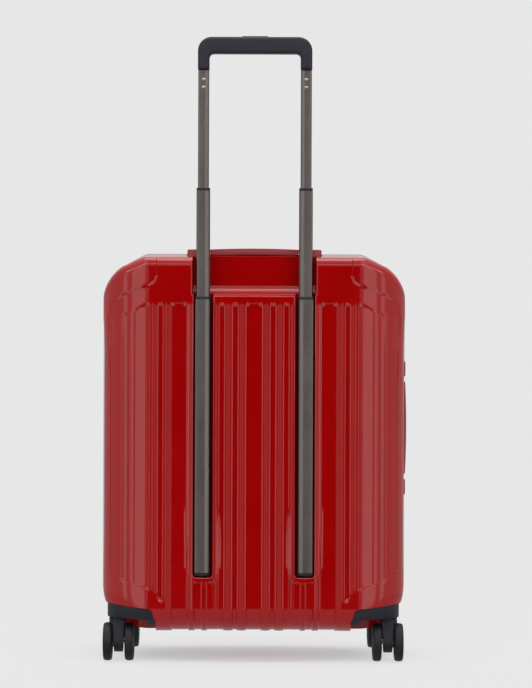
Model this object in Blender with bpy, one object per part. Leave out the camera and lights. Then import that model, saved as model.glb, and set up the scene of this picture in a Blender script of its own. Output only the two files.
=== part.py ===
"""Hard shell cabin suitcase on four twin-wheel casters, with a three-stage trolley.

Metres, +Z up. The origin is on the floor, under the middle of the case. The rear shell, which
carries the trolley, faces -Y and the front shell +Y. The shells hinge at -X and unzip at +X.
"""

from math import atan2, cos, hypot, pi, radians, sin, tan

import bmesh
import bpy
from mathutils import Matrix, Vector

# Clearances
GAP = 0.0003  # between pieces that touch
RUNNING_GAP = 0.0004  # between pieces that slide or turn
MERGE = 0.000001  # points closer than this are one
BISECTIONS = 30

# Case body
HALF_WIDTH = 0.200
TOP = 0.534
BOTTOM = 0.036
RIM_Y = 0.0095  # where each shell's rim stops short of the parting plane
STRAIGHT_Y = 0.022  # the wall is straight from the rim to here, then drafted
FACE_Y = 0.0985  # the flats between the ribs
WALL = 0.0026
DRAFT = tan(radians(5.5))
ROUNDING_STEPS = 6
CORNER_STEPS = 5
# Half of the rim's outline: x, z, corner radius.
RIM_CORNERS = (
    (0.143, TOP, 0.020),
    (HALF_WIDTH, 0.504, 0.060),
    (HALF_WIDTH, 0.430, 0),
    (HALF_WIDTH, BOTTOM, 0.060),
)
# The flat face, and how far the rounding round it reaches forward from it.
FACE_HALF = 0.137
FACE_Z = (0.070, 0.514)
SIDE_DEPTH = 0.050
BOTTOM_DEPTH = 0.040
TOP_DEPTH = 0.010
EDGE_BLEND = 0.0126  # how far the rounding of the top edge reaches along the wall
BLENDED_ABOVE = 0.42
CORNER_Y = FACE_Y - SIDE_DEPTH
CORNER_REACH = HALF_WIDTH - FACE_HALF - DRAFT * (CORNER_Y - STRAIGHT_Y)

# Ribs
RIB_HEIGHT = 0.0015
RIB_WIDTH = 0.0110
RIB_CHAMFER = 0.0012
RIB_ROOT = 0.0010  # how deep a rib's base reaches into the wall
RIB_BOTTOM = 0.074
RIB_TOP = 0.4689
RIB_TOP_AT_CORNER = 0.452
REAR_RIBS = (0.0159, 0.0334, 0.1130, 0.1305)
FRONT_RIBS = (0.0159, 0.0334, 0.0644, 0.0820, 0.1130, 0.1305)
CORNER_RIB_ANGLES = (67, 47, 16)  # degrees round the plan corner, from the side wall
LIP_WIDTH = 0.0074
CHANNEL_LIPS = (0.0488, 0.0838)

# Trolley channels and the recess that the grip drops into
CHANNEL_X = (0.0533, 0.0790)
CHANNEL_FLOOR_Y = 0.0805
CHANNEL_BOTTOM = 0.1110
YOKE_HALF_WIDTH = 0.0807
YOKE_WALL_Y = 0.071
YOKE_FLOOR = (0.4771, 0.4862)  # at the face and at the recess wall
BEYOND = 0.03  # how far a cutter runs past the surface that it opens

# Trolley
TUBE_X = 0.0668
TUBE_Y = -0.0893
OUTER_TUBE = (0.0215, 0.0150)
MIDDLE_TUBE = (0.0178, 0.0116)
UPPER_TUBE = (0.0143, 0.0084)
TUBE_WALL = 0.0012
TUBE_EDGE_RADIUS = 0.0020
TUBE_LEAST_RADIUS = 0.0006
TUBE_STEPS = 3
TUBE_INNER_ROUND = (0.85, 0.60)  # the rounding of the side that faces in, as shares of the half sizes
OUTER_TUBE_Z = (0.1165, 0.4728)
LOWER_COLLAR_Z = (0.4731, 0.4761)
MIDDLE_TUBE_Z = (0.345, 0.6144)
UPPER_COLLAR_Z = (0.6147, 0.6176)
UPPER_TUBE_Z = (0.484, 0.7711)
FOOT_PLUG_Z = (0.1126, 0.1162)
GRIP_Z = (0.7714, 0.7925, 0.8139)  # leg ends, underside and top
GRIP_X = (0.0594, 0.0744)  # inner and outer side of a leg
GRIP_DEPTH = 0.022
GRIP_SHOULDER = 0.018  # outer radius where a leg meets the bar
GRIP_BEND = 0.006  # inner radius there
GRIP_LEG_CORNER = 0.0032
GRIP_BEVEL = 0.0028
SPIGOT_Z = (0.7590, 0.7744)  # the plug under each leg that sits in its tube
BUTTON_SIZE = (0.0347, 0.0100)
BUTTON_Z = (0.8097, 0.8152)
BUTTON_POCKET_FLOOR = 0.8059
BUTTON_BEVEL = 0.001

# Casters
CASTER_X = 0.176
CASTER_Y = 0.0625
TRAIL = 0.0105
WHEEL_RADIUS = 0.025
WHEEL_X = (0.0083, 0.0200)  # inner and outer face, from the fork's middle
WHEEL_SHOULDER = 0.0020
WHEEL_SIDES = 24
BRACKET_Y = (0.0215, 0.0965)
BRACKET_CORNER_RADIUS = 0.045
BRACKET_OUTER_X = 0.1915
BRACKET_UPPER = ((0.1368, 0.0695), (0.1307, 0.0635), (0.1276, 0.0508))
BRACKET_TOP = 0.0752
BRACKET_LOWER = ((0.1294, 0.0492), (0.1345, 0.0496), (0.1407, 0.0562))
BRACKET_UNDERSIDE = 0.0562
WELL_Y = 0.0185
CROWN_RADIUS = 0.0125
CROWN_Z = (0.0520, 0.0558)
KINGPIN_RADIUS = 0.005
KINGPIN_TOP = 0.0675
PIN_SIDES = 16
CROWN_SIDES = 20
AXLE_SIDES = 12
FORK_HALF_WIDTH = (0.0055, 0.0078)  # at the tip and at the crown
FORK_END_RADIUS = 0.0135
FORK_END_ARC = (200, 375)  # degrees round the axle
FORK_END_STEPS = 8
AXLE_RADIUS = 0.0025
AXLE_HALF_LENGTH = 0.0195

# Carry handles: along the wall, out of the wall, across the wall
TOP_HANDLE = {"centre": (0, -0.037, 0.534), "half_length": 0.0885, "rise": 0.0065, "width": 0.022}
SIDE_HANDLE = {"centre": (0.200, -0.031, 0.3045), "half_length": 0.0885, "rise": 0.0015, "width": 0.016}
HANDLE_THICKNESS = 0.0088
TONGUE_THICKNESS = 0.0034  # at the ends, next to the mounts
TONGUE_END = 0.006  # from the tongue's end to its mount's far side
HANDLE_MOUNT_LENGTH = 0.0210
HANDLE_MOUNT_TOP = 0.0014  # below the grip's highest point
HANDLE_TONGUE_DROP = 0.0090
HANDLE_STEPS = (0.006, 0.001, 0.010, 0.020)  # bend, drop, neck and full thickness, from the mount
TONGUE_END_SHARE = 0.8  # the tongue's thickness over the neck's
HANDLE_MOUNT_SIDE = 0.003  # how far a mount stands out beside the grip
HANDLE_MOUNT_BEVEL = 0.001
HANDLE_MOUNT_ROOF = 0.0022
CAVITY_END = 0.004
CAVITY_FLOOR_GAP = 0.001
TOP_POCKET_Y = (-0.062, -0.012)
SIDE_POCKET_Y = (-0.0485, -0.0135)
POCKET_DEPTH = 0.0140

# Lining
LINING_THICKNESS = 0.0012
LINING_CORNERS = (
    (0.134, 0.5165, 0.012),
    (0.1825, 0.491, 0.045),
    (0.1825, 0.0815, 0.004),
    (0.1215, 0.0815, 0.004),
    (0.1215, 0.0455, 0.006),
)
FRONT_LINING_FLOOR = (
    (0.125, 0.503, 0.012),
    (0.158, 0.484, 0.030),
    (0.158, 0.0815, 0.004),
    (0.1215, 0.0815, 0.004),
    (0.1215, 0.0580, 0.006),
)
REAR_LINING_Y = 0.067
FRONT_LINING_Y = 0.090

# Zip and hinge
ZIP_INSET = (0.0030, 0.0046)
ZIP_Y = (0.0004, 0.0092)
HINGE_TAPE_INSET = (0.0049, 0.0057)
HINGE_TAPE_Z = (0.100, 0.460)
HINGE_TAPE_Y = (-0.0200, -0.0004)
SLIDER_X = (0.1973, 0.1998)
SLIDER_HALF = 0.0055
SLIDER_Z = {"upper": 0.3340, "lower": 0.2860}
PULL_X = (0.2001, 0.2013)
PULL_LENGTH = 0.024
PULL_WIDTH = 0.0070
PULL_END_SHARE = 0.98  # the pull's end radius over its half thickness
SLIDER_BEVEL = 0.0007

# Combination lock on the front shell's +X wall
LOCK_Y = 0.034
LOCK_Z = (0.268, 0.342)
LOCK_HALF_WIDTH = 0.0150
LOCK_BACK_X = 0.1840
LOCK_FACE_X = 0.2008
DIAL_AXIS_X = 0.1925
DIAL_RADIUS = 0.0090
DIAL_COUNT = 3
DIAL_PITCH = 0.0100
DIAL_SIDES = 20
SPINDLE_SIDES = 10
LOCK_BUTTON_TRAVEL = 0.003
LOCK_BUTTON_BEVEL = 0.0008
DIAL_THICKNESS = 0.0092
DIAL_FIRST_Z = 0.3050
DIAL_CAVITY_RADIUS = 0.0096
SPINDLE_RADIUS = 0.0016
SPINDLE_Z = (0.2960, 0.3340)
LOCK_BUTTON_Z = (0.2850, 0.2940)
LOCK_BUTTON_HALF_WIDTH = 0.0060
LOCK_BUTTON_X = (0.1930, 0.2014)
KEY_Z = 0.2765
KEY_RADIUS = 0.0045
KEY_X = (0.1930, 0.2006)

MATERIALS = {
    # name: linear colour, roughness, metallic
    "shell_red": ((0.29, 0.004, 0.005), 0.22, 0.0),
    "tube_gunmetal": ((0.13, 0.12, 0.11), 0.35, 1.0),
    "dark_plastic": ((0.030, 0.035, 0.042), 0.45, 0.0),
    "handle_red": ((0.24, 0.004, 0.008), 0.35, 0.0),
    "wheel_rubber": ((0.022, 0.022, 0.022), 0.65, 0.0),
    "lining_fabric": ((0.05, 0.05, 0.055), 0.9, 0.0),
    "zip_tape": ((0.02, 0.02, 0.02), 0.8, 0.0),
    "zinc": ((0.55, 0.55, 0.56), 0.3, 1.0),
}


# Scene, materials and objects


def clear_scene():
    for thing in list(bpy.data.objects):
        bpy.data.objects.remove(thing)


def make_material(name):
    colour, roughness, metallic = MATERIALS[name]
    material = bpy.data.materials.new(name)
    material.use_nodes = True
    shader = material.node_tree.nodes["Principled BSDF"]
    shader.inputs["Base Color"].default_value = (*colour, 1)
    shader.inputs["Roughness"].default_value = roughness
    shader.inputs["Metallic"].default_value = metallic
    return material


def make_object(name, bm, material, origin=(0, 0, 0), smooth=True):
    """An object whose mesh was drawn in world space, with its origin moved to `origin`."""
    bmesh.ops.recalc_face_normals(bm, faces=bm.faces)
    if bm.calc_volume(signed=True) < 0:
        bmesh.ops.reverse_faces(bm, faces=bm.faces)
    bmesh.ops.translate(bm, verts=bm.verts, vec=-Vector(origin))
    mesh = bpy.data.meshes.new(name)
    bm.to_mesh(mesh)
    bm.free()
    if smooth:
        mesh.shade_smooth()
        mesh.set_sharp_from_angle(angle=radians(35))
    mesh.materials.append(bpy.data.materials.get(material) or make_material(material))
    thing = bpy.data.objects.new(name, mesh)
    thing.location = origin
    bpy.context.collection.objects.link(thing)
    return thing


def combine(target, tool_mesh, operation):
    """Cut `target` with a closed mesh, or join or intersect it, and keep only the result."""
    tool = make_object("tool", tool_mesh, "dark_plastic", smooth=False)
    modifier = target.modifiers.new(operation, "BOOLEAN")
    modifier.operation = operation
    modifier.solver = "EXACT"
    modifier.object = tool
    bpy.context.view_layer.update()
    evaluated = target.evaluated_get(bpy.context.evaluated_depsgraph_get())
    result = bpy.data.meshes.new_from_object(evaluated)
    material = target.data.materials[0]
    target.modifiers.clear()
    target.data = result
    result.materials.clear()
    result.materials.append(material)
    bpy.data.objects.remove(tool)


def dissolve_flat(thing):
    """Join faces that lie in one plane, which booleans leave split."""
    bm = bmesh.new()
    bm.from_mesh(thing.data)
    bmesh.ops.dissolve_limit(bm, angle_limit=radians(0.5), verts=bm.verts, edges=bm.edges)
    bmesh.ops.triangulate(bm, faces=bm.faces)
    bm.to_mesh(thing.data)
    bm.free()


def split_at(thing, levels):
    """Cut the faces at planes across X or Z, so that none of them bends round a gap."""
    bm = bmesh.new()
    bm.from_mesh(thing.data)
    for axis, level in levels:
        normal = Vector((1, 0, 0)) if axis == "X" else Vector((0, 0, 1))
        point = normal * level - thing.location
        everything = [*bm.verts, *bm.edges, *bm.faces]
        bmesh.ops.bisect_plane(bm, geom=everything, plane_co=point, plane_no=normal)
    bm.to_mesh(thing.data)
    bm.free()


# Outlines


def rounded(corners, steps=CORNER_STEPS):
    """The closed outline through corners (u, v, radius), with an arc at each one that has one."""
    outline = []
    for index, (u, v, radius) in enumerate(corners):
        here = Vector((u, v))
        if radius == 0:
            outline.append(here)
            continue
        following = corners[(index + 1) % len(corners)]
        back = (Vector(corners[index - 1][:2]) - here).normalized()
        ahead = (Vector(following[:2]) - here).normalized()
        half = back.angle(ahead) / 2
        centre = here + (back + ahead).normalized() * radius / sin(half)
        first = here + back * radius / tan(half) - centre
        last = here + ahead * radius / tan(half) - centre
        sweep = atan2(first.x * last.y - first.y * last.x, first.dot(last))
        for step in range(steps + 1):
            outline.append(centre + Matrix.Rotation(sweep * step / steps, 2) @ first)
    return outline


def mirrored(corners):
    """A closed loop of corners from its half at +X, which runs from the top to the bottom."""
    left = [(-corner[0], *corner[1:]) for corner in reversed(corners)]
    return [*corners, *left]


def inset(corners, distance):
    """Corners of a clockwise loop moved in by `distance`, with radii to match."""
    moved = []
    for index, (u, v, radius) in enumerate(corners):
        here = Vector((u, v))
        normals = []
        for start, end in (
            (Vector(corners[index - 1][:2]), here),
            (here, Vector(corners[(index + 1) % len(corners)][:2])),
        ):
            along = (end - start).normalized()
            normals.append(Vector((along.y, -along.x)))
        shift = (normals[0] + normals[1]) * distance / (1 + normals[0].dot(normals[1]))
        moved.append((*(here + shift), max(radius - distance, 0.001) if radius else 0))
    return moved


def rectangle(low, high, radius=0.0):
    """Corners of an upright rectangle, clockwise from its top right."""
    return [
        (high[0], high[1], radius),
        (high[0], low[1], radius),
        (low[0], low[1], radius),
        (low[0], high[1], radius),
    ]


def tube_section(size, side, grow=0.0):
    """A trolley tube's section: nearly square outside, rounded on the side that faces in."""
    half_width = size[0] / 2 + grow
    half_depth = size[1] / 2 + grow
    edge = max(TUBE_EDGE_RADIUS + grow, TUBE_LEAST_RADIUS)
    inner = (half_width * TUBE_INNER_ROUND[0], half_depth * TUBE_INNER_ROUND[1])
    quarters = (
        (1, -1, (edge, edge), 0),
        (-1, -1, inner, -pi / 2),
        (-1, 1, inner, -pi),
        (1, 1, (edge, edge), pi / 2),
    )
    outline = []
    for across, along, (wide, deep), start in quarters:
        centre_x = across * (half_width - wide)
        centre_y = along * (half_depth - deep)
        for step in range(TUBE_STEPS + 1):
            angle = start - pi / 2 * step / TUBE_STEPS
            x = centre_x + wide * cos(angle)
            y = centre_y + deep * sin(angle)
            outline.append(Vector((side * (TUBE_X + x), TUBE_Y + y)))
    return outline


# Solids, drawn in world space


def place(point, axis, level):
    """A point of an outline drawn across `axis`, at `level` along it."""
    u, v = point
    return {"X": (level, u, v), "Y": (u, level, v), "Z": (u, v, level)}[axis]


def join_loops(bm, first, second):
    count = len(first)
    for index in range(count):
        following = (index + 1) % count
        bm.faces.new((first[index], first[following], second[following], second[index]))


def prism(outline, axis, low, high, bm=None):
    """An outline extruded along an axis."""
    bm = bm or bmesh.new()
    loops = [[bm.verts.new(place(p, axis, level)) for p in outline] for level in (low, high)]
    join_loops(bm, *loops)
    bm.faces.new(loops[0])
    bm.faces.new(loops[1])
    return bm


def ring(outer, inner, axis, low, high):
    """A hollow extrusion between two outlines with the same number of points."""
    bm = bmesh.new()
    loops = [
        [bm.verts.new(place(p, axis, level)) for p in outline]
        for outline, level in ((outer, low), (outer, high), (inner, high), (inner, low))
    ]
    for index in range(len(loops)):
        join_loops(bm, loops[index], loops[(index + 1) % len(loops)])
    return bm


def box(low, high, bevel=0.0, segments=2):
    bm = prism(rounded(rectangle(low[:2], high[:2])), "Z", low[2], high[2])
    if bevel:
        bmesh.ops.recalc_face_normals(bm, faces=bm.faces)
        bmesh.ops.bevel(
            bm, geom=list(bm.edges), offset=bevel, segments=segments, profile=0.5, affect="EDGES"
        )
    return bm


def turned(profile, sides, centre, axis, bm=None):
    """A closed profile of (along, radius) spun about an axis, with a flat side facing down."""
    bm = bm or bmesh.new()
    loops = []
    for index in range(sides):
        angle = 2 * pi * (index + 0.5) / sides
        loop = []
        for along, radius in profile:
            reach = radius / cos(pi / sides)
            point = (reach * sin(angle), -reach * cos(angle))
            loop.append(bm.verts.new(Vector(centre) + Vector(place(point, axis, along))))
        loops.append(loop)
    for index in range(sides):
        join_loops(bm, loops[index], loops[(index + 1) % sides])
    return bm


def rod(radius, low, high, sides, centre, axis, bm=None):
    """A plain round bar along an axis."""
    middle = Vector(centre)
    points = []
    for index in range(sides):
        angle = 2 * pi * (index + 0.5) / sides
        points.append((radius * sin(angle), -radius * cos(angle)))
    bm = bm or bmesh.new()
    loops = [
        [bm.verts.new(middle + Vector(place(p, axis, level))) for p in points]
        for level in (low, high)
    ]
    join_loops(bm, *loops)
    bm.faces.new(loops[0])
    bm.faces.new(loops[1])
    return bm


# Shells


def plan_distance(x, y):
    """How far a point at |x|, |y| is outside the plan section, and the section's normal there."""
    if y > CORNER_Y and x > FACE_HALF:
        across = (x - FACE_HALF) / CORNER_REACH
        along = (y - CORNER_Y) / SIDE_DEPTH
        reach = hypot(across, along)
        slope = Vector((across / CORNER_REACH, along / SIDE_DEPTH)) / reach
        return (reach - 1) / slope.length, slope.normalized()
    to_wall = x - HALF_WIDTH + DRAFT * max(y - STRAIGHT_Y, 0)
    to_face = y - FACE_Y
    if y <= CORNER_Y and to_wall > to_face:
        return to_wall, Vector((1, 0))
    return to_face, Vector((0, 1))


def outline_distance(x, y, z, rim):
    """How far a point is outside the drafted outline, and how far the outline faces +X there."""
    best, facing = -BEYOND - HALF_WIDTH, 0.0
    for start, end in zip(rim, [*rim[1:], rim[0]]):
        along = (end - start).normalized()
        normal = Vector((-along.y, along.x))
        reach = normal.dot(Vector((x, z)) - start)
        if reach > best:
            best, facing = reach, normal.x
    return best + DRAFT * max(y - STRAIGHT_Y, 0), facing


def outside(point, rim, wall):
    """Above nought outside the plan section or the outline, with a blend where they cross."""
    x, y, z = point
    by_plan, normal = plan_distance(x, y)
    by_outline, facing = outline_distance(x, y, z, rim)
    by_plan += wall
    turn = min(max(normal.x * facing + normal.y * DRAFT, 0), 1)
    blend = EDGE_BLEND * (1 - turn)
    overlap = max(blend - abs(by_plan - by_outline), 0)
    return max(by_plan, by_outline) + (overlap * overlap / blend / 4 if overlap else 0)


def on_blend(core, ray, rim, wall):
    """Where a ray from inside the block leaves the blended surface."""
    low, high = 0.0, 3.0
    for _ in range(BISECTIONS):
        middle = (low + high) / 2
        if outside(core + ray * middle, rim, wall) > 0:
            high = middle
        else:
            low = middle
    return core + ray * low


def column(p, rim, wall):
    """Points of the block's surface from the rim point p forward to the face, at |x| and |y|."""
    q = Vector((min(p.x, FACE_HALF), min(max(p.y, FACE_Z[0]), FACE_Z[1])))
    out = p - q
    share = atan2(abs(out.y), out.x) / (pi / 2)
    far_depth = TOP_DEPTH if out.y > 0 else BOTTOM_DEPTH
    depth = SIDE_DEPTH + (far_depth - SIDE_DEPTH) * share
    start = min(DRAFT * (FACE_Y - depth - STRAIGHT_Y) / out.length, 1)
    points = [(p.x, RIM_Y - BEYOND if wall else RIM_Y, p.y), (p.x, STRAIGHT_Y, p.y)]
    core = Vector((q.x, FACE_Y - depth, q.y))
    for step in range(ROUNDING_STEPS):
        angle = pi / 2 * step / ROUNDING_STEPS
        at = p.lerp(q, start + (1 - start) * (1 - cos(angle)))
        point = Vector((at.x, FACE_Y - wall - depth * (1 - sin(angle)), at.y))
        if p.y > BLENDED_ABOVE:
            point = on_blend(core, point - core, rim, wall)
        points.append(tuple(point))
    return [*points, (q.x, FACE_Y - wall, q.y)]


def shell_block(side, wall):
    """The closed block inside the shell's outer surface moved in by `wall`."""
    corners = mirrored(RIM_CORNERS)
    rim = rounded(inset(corners, wall) if wall else corners)
    right = [column(p, rim, wall) for p in rim if p.x > 0]
    bm = bmesh.new()
    columns = []
    for hand, points in ((1, right), (-1, reversed(right))):
        for line in points:
            columns.append([bm.verts.new((hand * x, side * y, z)) for x, y, z in line])
    loops = list(zip(*columns))
    for first, second in zip(loops, loops[1:]):
        join_loops(bm, first, second)
    bm.faces.new(loops[0])
    bm.faces.new(loops[-1])
    bmesh.ops.remove_doubles(bm, verts=bm.verts, dist=MERGE)
    bmesh.ops.dissolve_degenerate(bm, edges=bm.edges, dist=MERGE)
    return bm


def rib(bm, side, centre, outward, width, top):
    """One upright rib, its base inside the wall, at a plan point and facing `outward`."""
    across = Vector((-outward.y, outward.x))
    half = width / 2
    section = (
        (-half, -RIB_ROOT),
        (half, -RIB_ROOT),
        (half, RIB_HEIGHT - RIB_CHAMFER),
        (half - RIB_CHAMFER, RIB_HEIGHT),
        (RIB_CHAMFER - half, RIB_HEIGHT),
        (-half, RIB_HEIGHT - RIB_CHAMFER),
    )
    outline = [centre + across * u + outward * v for u, v in section]
    prism([(p.x, side * p.y) for p in outline], "Z", RIB_BOTTOM, top, bm)


def ribs(side, positions):
    """All of a shell's ribs: upright bars on its face and round its plan corners."""
    bm = bmesh.new()
    lips = CHANNEL_LIPS if side < 0 else ()
    for hand in (-1, 1):
        for x in positions:
            rib(bm, side, Vector((hand * x, FACE_Y)), Vector((0, 1)), RIB_WIDTH, RIB_TOP)
        for x in lips:
            rib(bm, side, Vector((hand * x, FACE_Y)), Vector((0, 1)), LIP_WIDTH, RIB_TOP)
        for degrees in CORNER_RIB_ANGLES:
            angle = radians(degrees)
            centre = Vector((cos(angle) * CORNER_REACH, sin(angle) * SIDE_DEPTH))
            outward = Vector((centre.x / CORNER_REACH**2, centre.y / SIDE_DEPTH**2)).normalized()
            centre += Vector((FACE_HALF, CORNER_Y))
            centre.x *= hand
            outward.x *= hand
            rib(bm, side, centre, outward, RIB_WIDTH, RIB_TOP_AT_CORNER)
    return bm


def well(side, hand, grow):
    """The space that a caster and its bracket take out of a bottom corner."""
    far = HALF_WIDTH + BEYOND
    slope = (BRACKET_TOP - BRACKET_UPPER[0][1]) / (BRACKET_OUTER_X - BRACKET_UPPER[0][0])
    far_top = BRACKET_TOP + slope * (far - BRACKET_OUTER_X)
    corners = [(far, far_top, 0), (far, -BEYOND, 0), (BRACKET_UPPER[-1][0], -BEYOND, 0)]
    corners += [(x, z, 0) for x, z in reversed(BRACKET_UPPER)]
    outline = rounded(inset(corners, -GAP - grow))
    near_y = WELL_Y - grow
    far_y = FACE_Y + BEYOND
    outline = [(hand * p.x, p.y) for p in outline]
    return prism(outline, "Y", side * near_y, side * far_y)


def yoke_recess(grow):
    """The recess in the rear shell's top that the retracted grip lies in."""
    far_y = -FACE_Y - BEYOND
    wall_y = -YOKE_WALL_Y + grow
    outline = (
        (far_y, YOKE_FLOOR[0] - grow),
        (-FACE_Y, YOKE_FLOOR[0] - grow),
        (wall_y, YOKE_FLOOR[1] - grow),
        (wall_y, TOP + BEYOND),
        (far_y, TOP + BEYOND),
    )
    half = YOKE_HALF_WIDTH + grow
    return prism(outline, "X", -half, half)


def channel(hand, grow):
    """The groove in the rear shell that a trolley tube lies in."""
    low_x, high_x = sorted((hand * (CHANNEL_X[0] - grow), hand * (CHANNEL_X[1] + grow)))
    return box(
        (low_x, -FACE_Y - BEYOND, CHANNEL_BOTTOM - grow),
        (high_x, -CHANNEL_FLOOR_Y + grow, YOKE_FLOOR[1] + WALL),
    )


def top_pocket(grow):
    """The hand recess under the top carry handle."""
    half = TOP_HANDLE["half_length"] + 0.001 + grow
    low_y, high_y = TOP_POCKET_Y
    return box(
        (-half, low_y - grow, TOP - POCKET_DEPTH - grow), (half, high_y + grow, TOP + BEYOND)
    )


def side_pocket(grow):
    """The hand recess under the side carry handle."""
    half = SIDE_HANDLE["half_length"] + 0.001 + grow
    middle = SIDE_HANDLE["centre"][2]
    low_y, high_y = SIDE_POCKET_Y
    return box(
        (HALF_WIDTH - POCKET_DEPTH - grow, low_y - grow, middle - half),
        (HALF_WIDTH + BEYOND, high_y + grow, middle + half),
    )


def lock_hole():
    """The window in the front shell's side wall for the lock."""
    half = LOCK_HALF_WIDTH + GAP
    return box(
        (LOCK_BACK_X - BEYOND, LOCK_Y - half, LOCK_Z[0] - GAP),
        (HALF_WIDTH + BEYOND, LOCK_Y + half, LOCK_Z[1] + GAP),
    )


def make_shell(name, side, rib_positions, recesses):
    """A ribbed shell whose recesses keep the wall's thickness round them."""
    shell = make_object(name, shell_block(side, 0), "shell_red")
    hollow = make_object("hollow", shell_block(side, WALL), "shell_red", smooth=False)
    combine(shell, ribs(side, rib_positions), "UNION")
    for recess in recesses:
        combine(shell, recess(0), "DIFFERENCE")
        combine(hollow, recess(WALL), "DIFFERENCE")
    bm = bmesh.new()
    bm.from_mesh(hollow.data)
    combine(shell, bm, "DIFFERENCE")
    bpy.data.objects.remove(hollow)
    return shell


def make_shells():
    wells = {
        side: [lambda grow, s=side, h=hand: well(s, h, grow) for hand in (-1, 1)]
        for side in (-1, 1)
    }
    channels = [lambda grow, h=hand: channel(h, grow) for hand in (-1, 1)]
    rear_recesses = [*wells[-1], yoke_recess, *channels, top_pocket, side_pocket]
    rear = make_shell("rear_shell", -1, REAR_RIBS, rear_recesses)
    dissolve_flat(rear)
    front = make_shell("front_shell", 1, FRONT_RIBS, wells[1])
    combine(front, lock_hole(), "DIFFERENCE")
    dissolve_flat(front)


def tray(side, rim_corners, floor_corners, floor_y):
    """A thin open tray between the rim and a floor, as one closed body."""
    bm = bmesh.new()
    outlines = (
        (rim_corners, RIM_Y + GAP),
        (floor_corners, floor_y),
        (inset(floor_corners, LINING_THICKNESS), floor_y - LINING_THICKNESS),
        (inset(rim_corners, LINING_THICKNESS), RIM_Y + GAP),
    )
    loops = [
        [bm.verts.new((p.x, side * y, p.y)) for p in rounded(corners, 3)]
        for corners, y in outlines
    ]
    for first, second in ((0, 1), (2, 3), (3, 0)):
        join_loops(bm, loops[first], loops[second])
    bm.faces.new(loops[1])
    bm.faces.new(loops[2])
    return bm


def make_linings():
    rim = mirrored(LINING_CORNERS)
    make_object("rear_lining", tray(-1, rim, rim, REAR_LINING_Y), "lining_fabric")
    floor = mirrored(FRONT_LINING_FLOOR)
    make_object("front_lining", tray(1, rim, floor, FRONT_LINING_Y), "lining_fabric")


# Zip, sliders and hinge tape


def make_zip():
    """The tape sewn round each rim, the hinge's gusset, and the two sliders with their pulls."""
    outer, inner = (rounded(inset(mirrored(RIM_CORNERS), distance)) for distance in ZIP_INSET)
    for name, side in (("rear_zip_half", -1), ("front_zip_half", 1)):
        levels = sorted(side * y for y in ZIP_Y)
        make_object(name, ring(outer, inner, "Y", *levels), "zip_tape")
    low_x, high_x = (distance - HALF_WIDTH for distance in HINGE_TAPE_INSET)
    low = (low_x, HINGE_TAPE_Y[0], HINGE_TAPE_Z[0])
    high = (high_x, HINGE_TAPE_Y[1], HINGE_TAPE_Z[1])
    make_object("hinge_tape", box(low, high), "lining_fabric")
    for place_name, z in SLIDER_Z.items():
        make_slider(place_name, z)


def make_slider(place_name, z):
    low = (SLIDER_X[0], -SLIDER_HALF, z - SLIDER_HALF)
    high = (SLIDER_X[1], SLIDER_HALF, z + SLIDER_HALF)
    slider = box(low, high, SLIDER_BEVEL, 1)
    make_object(f"{place_name}_zip_slider", slider, "zinc", (SLIDER_X[1], 0, z))
    pivot_x = sum(PULL_X) / 2
    end = pivot_x - PULL_X[0]
    corners = rectangle((PULL_X[0], z - PULL_LENGTH), (PULL_X[1], z + end), end * PULL_END_SHARE)
    half = PULL_WIDTH / 2
    pull = prism(rounded(corners, 3), "Y", -half, half)
    make_object(f"{place_name}_zip_pull", pull, "zinc", (pivot_x, 0, z))


# Trolley


def make_tube(name, side, size, levels):
    outer = tube_section(size, side)
    inner = tube_section(size, side, -TUBE_WALL)
    origin = (side * TUBE_X, TUBE_Y, levels[0])
    make_object(name, ring(outer, inner, "Z", *levels), "tube_gunmetal", origin)


def make_collar(name, side, outside, bore, levels):
    outer = tube_section(outside, side)
    inner = tube_section(bore, side, RUNNING_GAP)
    origin = (side * TUBE_X, TUBE_Y, levels[0])
    make_object(name, ring(outer, inner, "Z", *levels), "dark_plastic", origin)


def make_trolley():
    for word, side in (("left", -1), ("right", 1)):
        make_tube(f"{word}_outer_tube", side, OUTER_TUBE, OUTER_TUBE_Z)
        make_tube(f"{word}_middle_tube", side, MIDDLE_TUBE, MIDDLE_TUBE_Z)
        make_tube(f"{word}_upper_tube", side, UPPER_TUBE, UPPER_TUBE_Z)
        make_collar(f"{word}_lower_collar", side, OUTER_TUBE, MIDDLE_TUBE, LOWER_COLLAR_Z)
        make_collar(f"{word}_upper_collar", side, MIDDLE_TUBE, UPPER_TUBE, UPPER_COLLAR_Z)
        plug = prism(tube_section(OUTER_TUBE, side), "Z", *FOOT_PLUG_Z)
        origin = (side * TUBE_X, TUBE_Y, FOOT_PLUG_Z[0])
        make_object(f"{word}_tube_foot", plug, "dark_plastic", origin)
    make_grip()


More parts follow.
